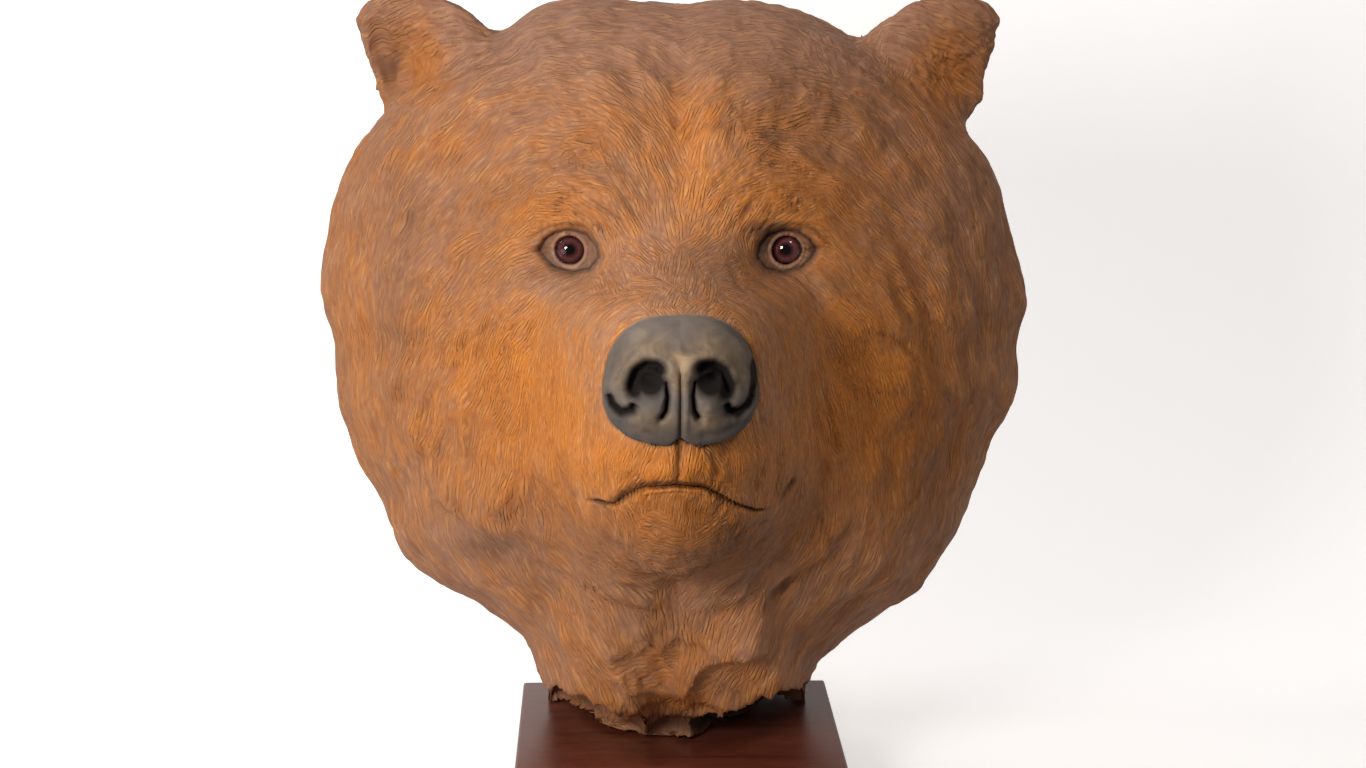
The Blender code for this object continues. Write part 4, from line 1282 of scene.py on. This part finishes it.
painted_iris, surface = new_material("painted_iris")
tree = painted_iris.node_tree
place = add(tree, "ShaderNodeTexCoord")
apart = add(tree, "ShaderNodeSeparateXYZ")
tree.links.new(place.outputs["Object"], apart.inputs[0])
angle = sum_up(tree, "ARCTAN2", apart.outputs[2], apart.outputs[0])
across_squared = sum_up(tree, "MULTIPLY", apart.outputs[0], apart.outputs[0])
up_squared = sum_up(tree, "MULTIPLY", apart.outputs[2], apart.outputs[2])
reach = sum_up(tree, "SQRT", sum_up(tree, "ADD", across_squared, up_squared), 0.0)
polar = add(tree, "ShaderNodeCombineXYZ")
tree.links.new(sum_up(tree, "MULTIPLY", angle, 9.0), polar.inputs[0])
tree.links.new(sum_up(tree, "MULTIPLY", reach, 260.0), polar.inputs[1])
fibres = add(tree, "ShaderNodeTexNoise", Scale=1.6, Detail=3.0, Roughness=0.6)
tree.links.new(polar.outputs[0], fibres.inputs["Vector"])
fibre_colour = ramp(tree, fibres.outputs[0], [(0.3, (0.120, 0.030, 0.032)), (0.7, (0.235, 0.074, 0.076))])
ring_shade = ramp(
    tree,
    sum_up(tree, "MULTIPLY", reach, 1.0 / (EYE_RADIUS * PART)),
    [
        (0.22, (0.010, 0.006, 0.006)), (0.36, (0.40, 0.34, 0.34)), (0.50, (1.0, 1.0, 1.0)),
        (0.66, (0.80, 0.78, 0.78)), (0.84, (0.10, 0.06, 0.06)),
    ],
)
tree.links.new(blend_colour(tree, 1.0, fibre_colour, ring_shade, "MULTIPLY"), surface.inputs["Base Color"])
surface.inputs["Roughness"].default_value = 0.5
surface.inputs["Specular IOR Level"].default_value = 0.0

for name, node, side in (("glass_left", "eye_left", -1), ("glass_right", "eye_right", 1)):
    dome = [(0.0, 0.0)]
    for k in range(1, DOME_STEPS + 1):
        reach = EYE_RADIUS * k / DOME_STEPS
        dome.append((reach, DOME_BALL - math.sqrt(DOME_BALL ** 2 - reach ** 2)))
    dome = dome + [(EYE_RADIUS, GLASS_BACK), (0.0, GLASS_BACK)]
    glass = turned_piece(name, dome)
    back = [(0.0, EYE_DOME), (IRIS_RADIUS, EYE_DOME), (IRIS_RADIUS, IRIS_BACK), (0.0, IRIS_BACK)]
    iris = turned_piece(name.replace("glass", "iris"), back)
    middle = Matrix.Translation((0, 0, PLINTH_TOP)) @ Matrix.Rotation(HEAD_TURN, 4, "Z")
    middle = middle @ Matrix.Scale(PART, 4) @ Matrix.Translation((side * EYE_X, -EYE_FRONT, EYE_Z))
    glass.data.materials.append(clear_glass)
    iris.data.materials.append(painted_iris)
    for piece in (glass, iris):
        piece.data.transform(Matrix.Scale(PART, 4))
        piece.matrix_world = Matrix.Translation(middle.translation) @ Matrix.Rotation(HEAD_TURN, 4, "Z")
        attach(piece, "root")
    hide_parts(node)


# The studio: a pale sweep of paper, the key light at the left front with a low bounce beside it,
# a fill from the upper right, a light on the paper behind, and the camera at the photograph's
# height and distance. The paper stands behind the carving, so it hides it from behind.
PAPER_FRONT_Y = -0.2
PAPER_WALL_Y = 0.70
PAPER_BEND = 0.35
PAPER_TOP = 2.4
PAPER_HALF_WIDTH = 2.6
BEND_STEPS = 12
mesh = bmesh.new()
bend_y = PAPER_WALL_Y - PAPER_BEND
sweep_profile = [(PAPER_FRONT_Y, 0.0), (bend_y, 0.0)]
for k in range(1, BEND_STEPS + 1):
    a = math.radians(90 * k / BEND_STEPS)
    sweep_profile.append((bend_y + PAPER_BEND * math.sin(a), PAPER_BEND - PAPER_BEND * math.cos(a)))
sweep_profile.append((PAPER_WALL_Y, PAPER_TOP))
rows = []
for y_at, z_at in sweep_profile:
    rows.append([mesh.verts.new((x_at, y_at, z_at)) for x_at in (-PAPER_HALF_WIDTH, PAPER_HALF_WIDTH)])
for first, second in zip(rows, rows[1:]):
    mesh.faces.new((first[0], first[1], second[1], second[0]))
paper = mesh_object("paper_sweep", mesh)
for polygon in paper.data.polygons:
    polygon.use_smooth = True
paper_white, surface = new_material("paper_white")
surface.inputs["Base Color"].default_value = (0.80, 0.78, 0.77, 1.0)
surface.inputs["Roughness"].default_value = 0.9
seen = paper_white.node_tree.nodes.new("ShaderNodeLightPath")
paper_white.node_tree.links.new(seen.outputs["Is Camera Ray"], surface.inputs["Emission Color"])
surface.inputs["Emission Strength"].default_value = 0.47
paper.data.materials.append(paper_white)


def soft_light(name, at, aim, size, power, colour):
    """A round soft light at one place, turned to another."""
    lamp = bpy.data.lights.new(name, "AREA")
    lamp.shape = "DISK"
    lamp.size = size
    lamp.energy = power
    lamp.color = colour
    made = bpy.data.objects.new(name, lamp)
    made.location = at
    made.rotation_euler = (Vector(aim) - Vector(at)).to_track_quat("-Z", "Y").to_euler()
    bpy.context.scene.collection.objects.link(made)


soft_light("key", (-0.62, -1.10, 0.62), (0.0, -0.08, 0.28), 0.42, 12.6, (1.0, 0.975, 0.95))
soft_light("bounce", (-0.95, -0.95, 0.10), (0.0, -0.05, 0.14), 0.9, 3.6, (1.0, 0.96, 0.92))
soft_light("fill", (0.85, -0.85, 1.60), (0.05, 0.0, 0.34), 0.4, 7.5, (1.0, 0.93, 0.86))
soft_light("backdrop", (-1.5, 0.0, 1.7), (-0.5, 0.6, 0.5), 0.8, 14.0, (1.0, 1.0, 1.0))
world = bpy.data.worlds.new("studio")
world.use_nodes = True
world.node_tree.nodes["Background"].inputs["Color"].default_value = (1.0, 0.97, 0.95, 1.0)
world.node_tree.nodes["Background"].inputs["Strength"].default_value = 0.16
bpy.context.scene.world = world

CAMERA_DIP = 10.41
CAMERA_TURN = -1.61
camera = bpy.data.cameras.new("camera")
camera.lens = 70.0
camera.sensor_width = 36.0
view = bpy.data.objects.new("camera", camera)
view.location = (-0.043, -1.642, 0.5644)
view.rotation_euler = (math.radians(90 - CAMERA_DIP), 0.0, math.radians(CAMERA_TURN))
bpy.context.scene.collection.objects.link(view)
bpy.context.scene.camera = view
bpy.context.scene.view_settings.view_transform = "Standard"
